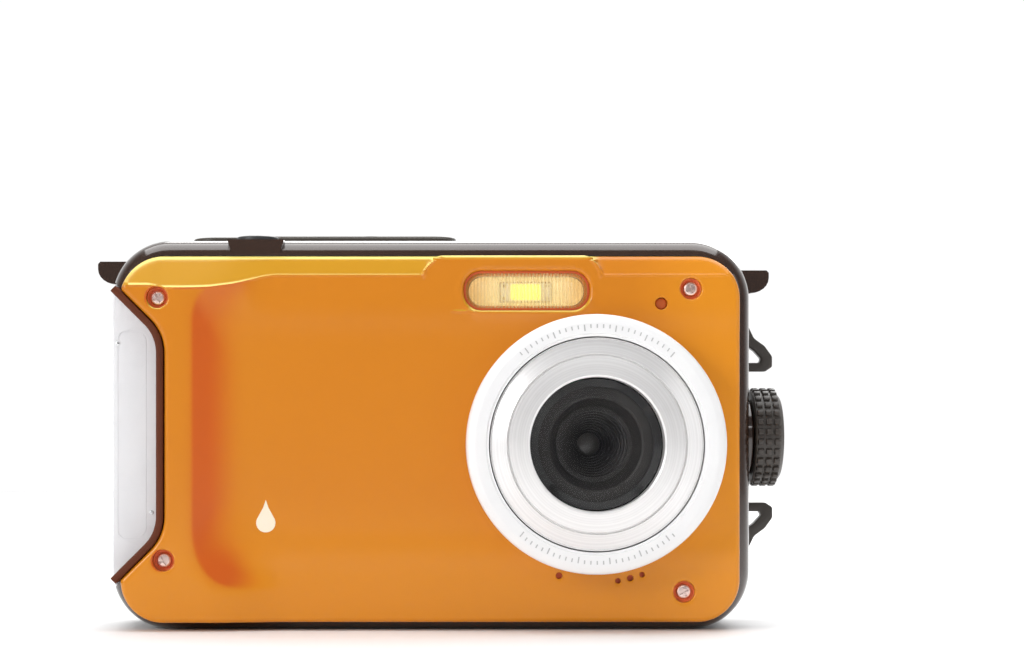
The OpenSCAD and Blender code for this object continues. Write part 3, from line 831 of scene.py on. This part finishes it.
def cover_holes():
    """Openings for the lens ring, the flash, the screws, the sound holes and the indicator light."""

    def round_hole(x, z, r, *rest):
        return Hole((x, z, 2 * r, 2 * r, r), *rest)

    wells = [round_hole(x, z, WELL_R, 40, 0.3, face - WELL_DEPTH, WELL_R - 0.85) for x, z, face in SCREWS]
    small = [round_hole(x, z, r, 20, 0.12) for x, z, r in SOUND + [LED_HOLE]]
    lens, flash = round_hole(*LENS_AXIS, 17.7, 120, 0.3), Hole(FLASH_OPENING, 48, 0.45, 11.0, 0.8)
    return [lens, flash] + wells + small


def rolled(loop_at, edge, angles):
    """Loops across a rounded edge, each with how far the surface drops there."""
    turns = [math.radians(a) for a in angles]
    return [(loop_at(edge * (1 - math.cos(a))), edge * (1 - math.sin(a))) for a in turns]


def fill_points(holes):
    """Points on the open face: close rows along the lips and an even grid elsewhere."""

    def open_face(x, z, gap):
        if cover_edge_distance(x, z) < EDGE + gap:
            return False
        return all(-in_rounded(x, z, *hole.outline) >= hole.edge + gap for hole in holes)

    filled, taken, crowded = [], set(), set()
    spot, cell, step = 0.08, 0.3, 0.55
    for x, z in fine_rows():
        at = (round(x / spot), round(z / spot))
        if at not in taken and open_face(x, z, 0.1):
            taken.add(at)
            i, j = round(x / cell), round(z / cell)
            crowded |= {(i + di, j + dj) for di in (-1, 0, 1) for dj in (-1, 0, 1)}
            filled.append((x, z))
    for j in range(int(COVER.h / step) + 1):
        for i in range(int(COVER.w / step) + 1):
            x = COVER.x0 + (i + 0.5 * (j % 2)) * step
            z = COVER.z0 + j * step
            if (round(x / cell), round(z / cell)) not in crowded and open_face(x, z, 0.28):
                filled.append((x, z))
    return filled


def front_cover():
    """One skin over the face, rolled round every edge, with the side walls behind it."""
    holes = cover_holes()
    borders = [(None, rolled(cover_loop, EDGE, (0, 18, 36, 54, 72, 90)))]
    borders += [(hole, rolled(hole.loop, hole.edge, (0, 22, 45, 67, 90))) for hole in holes]
    points, heights, edges, rims = [], [], [], []
    for hole, rows in borders:
        rims.append((hole, len(points), len(rows[0][0])))
        for loop, drop in rows:
            start, n = len(points), len(loop)
            points += loop
            heights += [face_height(*p) - drop for p in loop]
            edges += [(start + i, start + (i + 1) % n) for i in range(n)]
    filled = fill_points(holes)
    points += filled
    heights += [face_height(*p) for p in filled]

    flat = delaunay_2d_cdt([Vector(p) for p in points], edges, [], 0, 1e-6)
    places, triangles, origin = flat[0], flat[2], flat[3]
    found = {source: k for k, sources in enumerate(origin) for source in sources}
    verts = []
    for p, sources in zip(places, origin):
        height = heights[sources[0]] if sources else face_height(p.x, p.y)
        verts.append((p.x, -height, p.y))
    faces = []
    for triangle in triangles:
        middle = [sum(places[i][axis] for i in triangle) / 3 for axis in (0, 1)]
        if cover_edge_distance(*middle) >= 0.0005 and not any(hole.holds(*middle) for hole in holes):
            faces.append(tuple(triangle))

    for hole, start, n in rims:
        foot = hole.foot if hole else COVER_BACK
        rim = [found[start + i] for i in range(n)]
        base = len(verts)
        verts += [(verts[i][0], -foot, verts[i][2]) for i in rim]
        faces += [(rim[i], rim[(i + 1) % n], base + (i + 1) % n, base + i) for i in range(n)]
        if hole and hole.ledge:
            inner = len(verts)
            for forward in (foot, COVER_BACK):
                verts += [(x, -forward, z) for x, z in hole.loop(-hole.ledge)]
            faces += ring_faces(base, inner, n) + ring_faces(inner, inner + n, n)
    piece = new_piece("front_cover_shell", verts, faces, 38)
    place_piece(piece, "root", "orange_plastic", ORANGE, "front_cover")


def hole_linings():
    """Painted shade and glow in the cover's openings: deep red discs as painted shade on the sound-hole
    floors, bright red-orange rings in the front screw wells as a painted glow, and a dark rim inside the
    flash opening as painted shade.
    """
    floor_y = -FACE + 0.95
    # painted shade: deep red discs on the sound-hole floors
    discs = [peg("disc", x, z, r + 0.02, floor_y - 0.25, floor_y, 24) for x, z, r in SOUND]
    meshes = join("sound_hole_shade_discs", [bevel(disc, 0.05, 1) for disc in discs])
    place_piece(meshes, "root", "orange_plastic", PAINTED_SHADE_ORANGE)

    # painted glow: bright red-orange rings in the front screw wells
    well_glow_rings = []
    inner, outer = 1.17, WELL_R - 0.02
    for x, z, face in SCREWS:
        foot = face - WELL_DEPTH + 0.01
        profile = [(inner, foot), (outer, foot), (outer, face - 0.2), (1.4, face - 0.7), (inner, face - 0.74)]
        well_glow_rings.append(lathe("well_glow_ring", round_corners(profile, [0, 0, 0.1, 0.15, 0]), (x, z), n=48))
    place_piece(join("front_screw_well_glow_rings", well_glow_rings), "root", "orange_plastic", WELL_GLOW_ORANGE)

    # painted shade: a dark rim inside the flash opening
    front, back = FLASH.y0 - 0.28, FLASH.y0 - 0.02
    rim = prism("rim", rounded_rect(*grow(FLASH_OPENING, -0.02), 12), front, back)
    cut(rim, prism("hole", rounded_rect(*grow(FLASH_OPENING, -0.4), 12), front - 1, back + 1))
    place_piece(bevel(rim, 0.06, 2), "root", "orange_plastic", PAINTED_SHADE_ORANGE)


def droplet():
    """A plain water drop in thin cream print, low on the cover."""
    cx, cz, r = -26.5, 17.4, 1.55
    outline = arc(cx, cz, r, -215, 35, 40) + [(cx + 0.42, cz + 2.45), (cx, cz + 3.7), (cx - 0.42, cz + 2.45)]
    n = len(outline)
    verts = [(x, -face_height(x, z) - proud, z) for proud in (-0.05, 0.025) for x, z in outline]
    faces = [tuple(range(n)), tuple(range(2 * n - 1, n - 1, -1))]
    mark = new_piece("droplet_mark", verts, faces + ring_faces(0, n, n))
    place_piece(mark, "root", "pale_plastic", MARK_CREAM)


# ---------------------------------------------------------------- lens
TICK = 0.06


def lens_rings():
    r_out, front, back = TRIM.w / 2, -TRIM.y0 - TICK, -TRIM.y1
    bore, seat, on_face = 17.05, 17.6, FACE + 0.02
    trim = round_corners(
        [(bore, back), (seat, back), (seat, on_face), (r_out, on_face), (r_out, front - 0.55),
         (r_out - 1.4, front), (17.55, front), (17.4, front - 0.18), (bore, front - 0.2)],
        [0, 0, 0, 0.15, 1.9, 1.2, 0.06, 0.06, 0],
    )
    ring = lathe("lens_trim_shell", trim, LENS_AXIS, n=220)
    place_piece(ring, "root", "white_trim", WHITE_RING, "lens_trim_ring")
    place_piece(join("lens_trim_ticks", ring_marks(front)), "root", "white_trim", TICK_GREY)

    top, r_out, step = -INNER.y0, 16.87, 14.2
    groove = top - 0.8
    inner = round_corners(
        [(10.9, step), (r_out, step), (r_out, top - 1.5), (16.6, top - 1.5), (14.25, top - 0.42),
         (14.15, groove), (13.96, groove), (13.88, top - 0.38), (10.95, top), (10.6, top - 0.15),
         (10.6, 16.2), (10.9, 16.2)],
        [0, 0, 0.12, 0.12, 0.06, 0.03, 0.03, 0.06, 0.14, 0.1, 0, 0],
    )
    ring = lathe("lens_inner_shell", inner, LENS_AXIS, n=220)
    place_piece(ring, "root", "brushed_trim", SPUN, "lens_inner_ring")


def ring_marks(front):
    """Plain raised ticks on the upper and lower arcs of the outer ring."""
    marks = []
    spread_each_way, count, outer = 40, 26, 18.95
    for middle in (90, 270):
        for i in range(count + 1):
            angle = math.radians(middle - spread_each_way + 2 * spread_each_way * i / count)
            inner = 17.95 if i % 5 == 0 else 18.35
            marks.append(radial_bar(angle, inner, outer, 0.1, front - 0.1, front + TICK))
    return marks


def radial_bar(angle, r0, r1, half, low, high):
    """A bar that points away from the lens axis."""
    c, s = math.cos(angle), math.sin(angle)
    corners = [(r0, -half), (r1, -half), (r1, half), (r0, half)]
    flat = [(LENS_AXIS[0] + r * c - t * s, LENS_AXIS[1] + r * s + t * c) for r, t in corners]
    return prism("mark", flat, -high, -low)


def lens_inside():
    back, front, r = -GLASS.y1, -GLASS.y0, GLASS.w / 2
    window = round_corners([(0, back), (r, back), (r, front), (0, front)], [0, 0.15, 0.25, 0])
    place_piece(lathe("lens_window_glass", window, LENS_AXIS), "root", "clear_glass", WINDOW, "lens_window")

    throat, mouth, foot, steps = 1.9, 5.4, -0.2, 9
    rise, widen = 11.7 / steps, (mouth - throat) / steps
    baffle = [(7.35, 15.3), (7.7, 15.55), (10.45, 15.55), (10.45, 8.2), (6.8, 8.0)]
    baffle += [(2.6, foot), (throat, foot)]
    for i in range(steps):
        r, h = throat + widen * i, foot + rise * i
        baffle += [(r, h + 0.1), (r + widen * 0.9, h + 0.35)]
    baffle += [(mouth, 11.5), (6.1, 11.5), (6.25, 11.75), (7.2, 14.6)]
    tunnel = lathe("lens_baffle_tunnel", baffle, LENS_AXIS, sharp=20)
    place_piece(tunnel, "root", "baffle_black", BAFFLE_BLACK, "lens_baffle")

    rim, depth, base = 2.6, 0.7, -2.4
    dome = [(0, base - 0.4), (rim, base - 0.4)]
    dome += [(rim * math.cos(a), base + depth * math.sin(a)) for a in np.linspace(0, math.pi / 2, 12)[:-1]]
    dome.append((0, base + depth))
    place_piece(lathe("front_lens_dome", dome, LENS_AXIS), "root", "lens_glass", LENS_GLASS, "front_lens")


# ---------------------------------------------------------------- flash
def flash_diffuser():
    """A plate with half-round ribs from top to bottom on its front."""
    w, h, r = FLASH.w, FLASH.h, 2.8
    fine, rib_height = 8, 0.14
    columns = int(w / RIB_PITCH) * fine
    valley = FLASH.y0 + 0.1
    verts, faces = [], []
    for i in range(columns + 1):
        x = -w / 2 + w * i / columns
        over = max(0.0, abs(x) - (w / 2 - r))
        half = h / 2 - r + math.sqrt(max(0.0, r * r - over * over))
        crest = valley - rib_height * abs(math.sin(math.pi * i / fine))
        section = [(-half, FLASH.y1), (-half, valley), (-half * 0.97, crest),
                   (half * 0.97, crest), (half, valley), (half, FLASH.y1)]
        verts += [(FLASH.x + x, d, FLASH.z + z) for z, d in section]
    n = len(section)
    for i in range(columns):
        faces += ring_faces(n * i, n * (i + 1), n)
    faces += [tuple(range(n - 1, -1, -1)), tuple(range(n * columns, n * columns + n))]
    place_piece(new_piece("flash_diffuser", verts, faces, 50), "root", "diffuser", DIFFUSER, "flash_window")


def flash_reflector():
    """A tray whose walls slope in to a small floor."""
    box = Span("flash_reflector")
    front, floor_at, r = -box.y0, -box.y1 + 0.45, 2.2
    levels = [(1.0, front, 0), (0.97, front - 0.6, 0.1), (0.8, floor_at + 0.25, 0.7), (0.4, floor_at, 2.4)]
    verts, faces = [], []
    for scale, forward, shrink in levels:
        height = box.h - 1.4 * shrink
        loop = rounded_rect(0, 0, box.w - 2 * shrink, height, min(r * scale, height / 2 - 0.05))
        verts += [(box.x + x, -forward, box.z + z) for x, z in loop]
    n = len(loop)
    last, back = (len(levels) - 1) * n, len(levels) * n
    for start in range(0, last, n):
        faces += ring_faces(start, start + n, n)
    verts += [(x, box.y1, z) for x, z in rounded_rect(box.x, box.z, box.w, box.h, r)]
    faces += ring_faces(0, back, n) + [tuple(range(last, back)), tuple(range(back, back + n))]
    tray = new_piece("flash_reflector_tray", verts, faces, 60)
    place_piece(tray, "root", "reflector", GLOWING_REFLECTOR, "flash_reflector")


def flash_led():
    """The light's square of phosphor on a carrier with a printed track and four pads."""
    led = Span("flash_led")
    square = rounded_rect(led.x, led.z, led.w - 0.5, led.h - 0.5, 0.3, 4)
    chip = prism("flash_led_phosphor", square, led.y0, led.y1)
    place_piece(bevel(chip, 0.1, 2), "root", "led", GLOWING_PHOSPHOR, "flash_led")

    border = prism("border", rounded_rect(led.x, led.z, led.w, led.h, 0.3, 4), led.y0 + 0.25, led.y1 - 0.01)
    outline = (led.x, led.z, 8.6, 3.4, 0.3)
    front = led.y1 - 0.5
    carrier = prism("carrier", rounded_rect(*outline, 4), front, led.y1 - 0.2)
    place_piece(join("flash_led_frame", [border, carrier]), "root", "reflector", LED_FRAME)

    track = prism("track", rounded_rect(*grow(outline, -0.05), 4), front - 0.08, front + 0.1)
    cut(track, prism("hole", rounded_rect(led.x, led.z, 8.1, 2.9, 0.15, 4), front - 1, front + 1))
    pads = [peg("pad", led.x + sx * 3.5, led.z + sz, 0.26, front - 0.12, front + 0.1, 16)
            for sx in (-1, 1) for sz in (-1, 1)]
    place_piece(join("flash_led_track", [track] + pads), "root", "brass_part", BRASS)


def indicator():
    box = Span("indicator_window")
    r, back, front = box.w / 2, -box.y1, -box.y0
    profile = [(0, back), (r, back), (r, front - 0.1), (r * 0.7, front), (0, front)]
    lens = lathe("indicator_lens", round_corners(profile, [0, 0, 0.2, 0.2, 0]), (box.x, box.z), n=48)
    place_piece(lens, "root", "amber", AMBER, "indicator_window")


# ---------------------------------------------------------------- grip
def sweep(name, path, section):
    """Carries a closed section (sideways, distance back) along an open path in the front plane."""
    verts, faces, n = [], [], len(section)
    for i, (x, z) in enumerate(path):
        a, b = path[max(0, i - 1)], path[min(len(path) - 1, i + 1)]
        size = math.dist(a, b)
        nx, nz = (a[1] - b[1]) / size, (b[0] - a[0]) / size
        verts += [(x + nx * u, v, z + nz * u) for u, v in section]
    last = (len(path) - 1) * n
    for start in range(0, last, n):
        faces += ring_faces(start, start + n, n)
    return new_piece(name, verts, faces + [tuple(range(n)), tuple(range(last, last + n))])


def groove_cutter(loop, half, top, bottom):
    """A thin square ring along a closed loop, spread towards and away from the loop's centre."""
    n = len(loop)
    cx, cz = (sum(p[k] for p in loop) / n for k in (0, 1))
    verts, faces = [], []
    for x, z in loop:
        size = math.hypot(x - cx, z - cz)
        ux, uz = (x - cx) / size * half, (z - cz) / size * half
        section = ((-1, top), (1, top), (1, bottom), (-1, bottom))
        verts += [(x + side * ux, y, z + side * uz) for side, y in section]
    for i in range(n):
        faces += ring_faces(4 * i, 4 * ((i + 1) % n), 4)
    return new_piece("groove", verts, faces)


def grip():
    """The dark liner along the finger notch and the pale insert behind it."""
    half = 0.6
    side = half - 0.02
    path = [p for p in notch_loop(-half, 20) if in_rounded(*p, *BODY_OUTLINE) > 0.45]
    front, back = LINER.y0, LINER.y1
    section = round_corners(
        [(0, back), (side, back), (side, front), (-side, front), (-side, back), (0, back)],
        [0, 0, 0.5, 0.5, 0, 0],
    )[:-1]
    place_piece(sweep("grip_liner_band", path, section), "root", "liner_rubber", LINER_DARK, "grip_liner")

    gap = -0.12
    wall = [p for p in notch_loop(gap) if in_rounded(*p, *BODY_OUTLINE) > 0.1]
    skin = densify(rounded_rect(*BODY_OUTLINE, 16), 0.8)
    skin = [p for p in skin if in_notch(*p, gap) > 0.05 and p[0] < 0]
    insert = prism("grip_insert_panel", wall + skin[::-1], INSERT.y0, INSERT.y1)
    bevel(insert, 0.45, 4, 60)
    line = rounded_rect(-48.6, MID_Z, 4.6, 33.5, 1.4, 8)
    cut(insert, groove_cutter(line, 0.16, INSERT.y0 - 0.5, INSERT.y0 + 0.1))
    place_piece(insert, "root", "pale_plastic", PALE, "grip_insert")
    pin_at = ((-50.9, 46.4), (-45.4, 18.9))
    pins = [peg("pin", x, z, 0.32, INSERT.y0 - 0.12, INSERT.y0 + 0.4, 20) for x, z in pin_at]
    place_piece(join("grip_insert_pins", [bevel(pin, 0.08, 2) for pin in pins]), "root", "screw_steel", STEEL)


# ---------------------------------------------------------------- screws
def screw_head(x, z, face, direction):
    """A domed cross-head screw; direction is 1 when it faces forward."""
    r, back = 1.14, face - 0.75
    profile = [(0, back), (r, back), (r, face - 0.3), (r * 0.93, face - 0.14), (r * 0.72, face - 0.04),
               (r * 0.4, face), (0, face)]
    profile = round_corners(profile, [0, 0, 0.1, 0.2, 0.3, 0.3, 0])
    head = lathe("screw_head", [(a, direction * b) for a, b in profile], (x, z), n=48)
    low, high = sorted((-direction * (face - 0.55), -direction * (face + 0.2)))
    first_turn = 0.5
    for turn in (first_turn, first_turn + math.pi / 2):
        cut(head, prism("slot", [(x + u, z + v) for u, v in bar(0, 0, 1.56, 0.38, turn)], low, high))
    return shade(head, 30)


def screws():
    heads = [screw_head(x, z, face, 1) for x, z, face in SCREWS]
    place_piece(join("front_screw_heads", heads), "root", "screw_steel", COPPERED, "front_screws")
    box = Span("rear_screws")
    heads = [screw_head(x, z, box.y1, -1) for x in (-45.5, 45.5) for z in (5.6, 57.5)]
    place_piece(join("rear_screw_heads", heads), "root", "screw_steel", STEEL, "rear_screws")


# ---------------------------------------------------------------- knob, side cover and strap lugs
def knurl_block(start, angle):
    """One bevelled block of the knob's grip, narrower on top, turned into its place round the drum."""
    w, d, h = 1.12, 1.22, 0.92
    x, y, z = start + 0.5, KNOB.y, KNOB.z + KNOB.h / 2 - 0.5
    outline = [(x - w / 2, z - h / 2), (x + w / 2, z - h / 2), (x + w / 2, z + h / 2), (x - w / 2, z + h / 2)]
    block = prism("block", outline, y - d / 2, y + d / 2)
    for v in block.data.vertices:
        if v.co.z > z * MM:
            v.co.y = y * MM + (v.co.y - y * MM) * 0.72
            v.co.x += 0.1 * MM * (1 if v.co.x < x * MM else -1)
    bevel(block, 0.12, 2)
    c, s = math.cos(angle), math.sin(angle)
    for v in block.data.vertices:
        dy, dz = v.co.y - KNOB.y * MM, v.co.z - KNOB.z * MM
        v.co.y, v.co.z = KNOB.y * MM + dy * c - dz * s, KNOB.z * MM + dy * s + dz * c
    return block


def knob():
    """A drum with three rows of bevelled knurl blocks and a dished end."""
    r, x0, x1 = KNOB.h / 2, KNOB.x0, KNOB.x1
    profile = round_corners(
        [(0, x0), (r - 0.7, x0), (r - 0.5, x0 + 0.2), (r - 0.5, x1 - 0.75), (r - 1.5, x1), (r - 2.3, x1),
         (r - 2.9, x1 - 0.5), (0, x1 - 0.35)],
        [0, 0.2, 0.2, 0.7, 0.3, 0.2, 0.3, 0],
    )
    parts = [lathe("knob_drum", profile, (KNOB.y, KNOB.z), "x", 120)]
    count, pitch = 30, 1.36
    for row in range(3):
        parts += [knurl_block(x0 + 0.3 + row * pitch, TURN * i / count) for i in range(count)]
    place_piece(join("knob_grip", parts), "knob", "knob_plastic", KNOB_BLACK, "knob")


def side_cover():
    """A plate that ends flush with the housing's side, and a collar under the knob."""
    box = Span("side_cover")
    outline = rounded_rect(box.y, box.z, box.d, box.h, 3.5, 12)
    plate = prism("side_cover_plate", outline, box.x0, HOUSING.x1, "x")
    cut(plate, prism("skin", rounded_rect(*BODY_OUTLINE, 24), -20, 20), "INTERSECT")
    bevel(plate, 0.3, 3, 35)
    axis = (box.y, KNOB.z)
    bore, neck, r, foot = 2.85, 3.2, 6.4, HOUSING.x1 - 0.6
    profile = [(bore, box.x0), (neck, box.x0), (neck, foot), (r, foot), (r, box.x1), (bore, box.x1)]
    collar = lathe("collar", round_corners(profile, [0, 0, 0, 0, 0.35, 0]), axis, "x", 96)
    cut(plate, lathe("hole", [(0, 40), (bore - 0.03, 40), (bore - 0.03, 60), (0, 60)], axis, "x", 64))
    place_piece(join("side_cover_shell", [plate, collar]), "side_cover", "black_plastic", BLACK, "side_cover")


def strap_lugs():
    lugs = Span("strap_lugs")
    root = 49.8
    outline = [(root, 11.2), (57.2, 11.2), (58.4, 12), (58.4, 13.8), (57.1, 15.6), (55.3, 16.9), (54.2, 19.2),
               (root, 20.2)]
    outline = round_corners(outline + outline[:1], [0, 0.6, 0.6, 0.9, 1.5, 1.5, 1.0, 0, 0])[:-1]
    eye = [(53.0, 12.7), (56.2, 12.7), (56.5, 13.4), (55.3, 14.7), (53.0, 16.4)]
    loops = []
    for side in (-1, 1):
        lug = prism("lug", [(x, KNOB.z + side * v) for x, v in outline], lugs.y0, lugs.y1)
        cut(lug, prism("eye", [(x, KNOB.z + side * v) for x, v in eye], lugs.y0 - 1, lugs.y1 + 1))
        loops.append(bevel(lug, 0.42))
    place_piece(join("strap_lug_loops", loops), "root", "lug_plastic", KNOB_BLACK, "strap_lugs")


# ---------------------------------------------------------------- top
def top_pad():
    """Two steps of a long pad, with a well for the power button."""
    power = Span("power_button")
    outline = (-17.8, 4.1, 44, 8.6, 4.2)
    low = prism("pad", rounded_rect(*outline, 12), PAD.z0, PAD.z1 - 0.2, "z")
    high = prism("pad_top", rounded_rect(-14.5, 4.1, 37.4, 8.0, 3.9, 12), PAD.z0 + 0.1, PAD.z1, "z")
    for piece in (low, high):
        bevel(piece, 0.3, 3, 50)
        cut(piece, prism("hole", circle(power.x, power.y, 2.8, 48), PAD.z0 - 1, PAD.z1 + 1, "z"))
    place_piece(join("top_pad_cover", [low, high]), "root", "pad_plastic", PAD_BLACK, "top_pad")


def power_cap():
    power = Span("power_button")
    r, top, stem, foot = power.w / 2, power.z1, 1.0, 62.9
    profile = [(0, power.z0), (stem, power.z0), (stem, foot), (r, foot), (r, top - 0.05), (r - 0.5, top),
               (r - 0.75, top), (r - 0.85, top - 0.12), (r - 1.0, top - 0.12), (r - 1.1, top - 0.02),
               (0, top - 0.1)]
    profile = round_corners(profile, [0, 0, 0, 0, 0.3, 0.2] + [0.05] * 4 + [0])
    cap = lathe("power_button_cap", profile, (power.x, power.y), "z", 80)
    place_piece(cap, "power_button", "pad_plastic", KEY_BLACK, "power_button")


def shutter_cap():
    """A round cap with a shallow dish for the finger."""
    r, top, stem, foot, dish = SHUTTER.w / 2, SHUTTER.z1, 1.2, 62.3, 0.28
    profile = [(0, SHUTTER.z0), (stem, SHUTTER.z0), (stem, foot), (r, foot), (r, top - 0.1), (r - 0.45, top)]
    profile += [(a, top - dish * (1 - (a / (r - 0.5)) ** 2)) for a in (2.7, 2.1, 1.4, 0.7, 0)]
    profile = round_corners(profile, [0, 0, 0, 0, 0.35, 0.25] + [0] * 5)
    cap = lathe("shutter_button_cap", profile, (SHUTTER.x, SHUTTER.y), "z", 96)
    place_piece(cap, "shutter_button", "pad_plastic", KEY_BLACK, "shutter_button")


# ---------------------------------------------------------------- back and underside
def screen():
    box = Span("lcd_window")
    view_outline = (box.x, box.z, 54.5, 41.0, 0.6)
    border = prism("border", rounded_rect(box.x, box.z, box.w, box.h, 2.1), box.y0, box.y1)
    cut(border, prism("view", rounded_rect(*view_outline, 6), box.y1 - 0.12, box.y1 + 1))
    place_piece(bevel(border, 0.12, 2), "root", "dark_glass", SCREEN, "lcd_window")
    view = prism("lcd_view_area", rounded_rect(*grow(view_outline, -0.1), 6), box.y1 - 0.2, box.y1 - 0.06)
    place_piece(view, "root", "dark_glass", VIEW)


def key(name, icon):
    """A round rear key with a symbol standing on its shallow dome."""
    box = Span(name)
    back, flange, face, r = -box.y0, -10.8, -box.y1, 2.9
    profile = [(0, back), (r + 0.5, back), (r + 0.5, flange), (r, flange), (r, face + 0.3),
               (r - 0.55, face + 0.15), (0, face + 0.07)]
    cap = lathe(name + "_cap", round_corners(profile, [0, 0, 0, 0, 0.3, 0.3, 0]), (box.x, box.z), n=72)
    place_piece(cap, name, "key_plastic", KEY_BLACK, name)
    marks = []
    for shape in icon:
        outline = [(box.x + x, box.z + z) for x, z in shape]
        marks.append(prism("mark", outline, box.y1 - 0.25, box.y1 - 0.01))
    place_piece(join(name + "_mark", marks), name, "pale_plastic", MARK_WHITE)


def triangle(angle, size=1.15):
    return arc(0, 0, size, angle, angle + 240, 2)


def bar(x, z, w, h, turn=0.0):
    """The four corners of a bar, turned about (x, z)."""
    c, s = math.cos(turn), math.sin(turn)
    corners = ((-w / 2, -h / 2), (w / 2, -h / 2), (w / 2, h / 2), (-w / 2, h / 2))
    return [(x + u * c - v * s, z + u * s + v * c) for u, v in corners]


def keys():
    diagonal = 0.785
    key("up_key", [triangle(90)])
    key("down_key", [triangle(270)])
    key("menu_key", [bar(0, z, 1.9, 0.3) for z in (0.6, 0, -0.6)])
    key("delete_key", [bar(0, 0, 2.0, 0.34, turn) for turn in (diagonal, -diagonal)])
    key("ok_key", [circle(0, 0, 0.75, 24)])
    key("playback_key", [triangle(180, 1.2)])


def tripod():
    """A flanged brass bush with a real screw thread."""
    box = Span("tripod_bush")
    pitch, minor, major, around, along = 1.27, 2.62, 3.12, 72, 48
    angles = [TURN * i / around for i in range(around)]
    verts, faces = [], []
    for j in range(along + 1):
        z = box.z0 + 0.25 + (box.z1 - box.z0 - 0.35) * j / along
        for i, angle in enumerate(angles):
            phase = (z / pitch - i / around) % 1
            r = minor + (major - minor) * (1 - abs(2 * phase - 1))
            verts.append((r * math.cos(angle), r * math.sin(angle), z))
    last = along * around
    for start in range(0, last, around):
        faces += ring_faces(start, start + around, around)
    r_out = box.w / 2
    flange = [(major + 0.25, box.z0 + 0.02), (r_out - 0.1, box.z0), (r_out, box.z0 + 0.12), (r_out, box.z1),
              (minor + 0.1, box.z1)]
    previous = 0
    for r, z in flange:
        start = len(verts)
        verts += [(r * math.cos(angle), r * math.sin(angle), z) for angle in angles]
        faces += ring_faces(previous, start, around)
        previous = start
    faces += ring_faces(previous, last, around)
    bush = new_piece("tripod_bush_thread", verts, faces, 28)
    place_piece(bush, "root", "brass_part", BRASS, "tripod_bush")


# ---------------------------------------------------------------- build
finish_cad_nodes()
studio()
front_cover()
lens_rings()
lens_inside()
flash_diffuser()
flash_reflector()
flash_led()
indicator()
grip()
screws()
knob()
side_cover()
strap_lugs()
top_pad()
power_cap()
shutter_cap()
screen()
keys()
tripod()
hole_linings()
droplet()
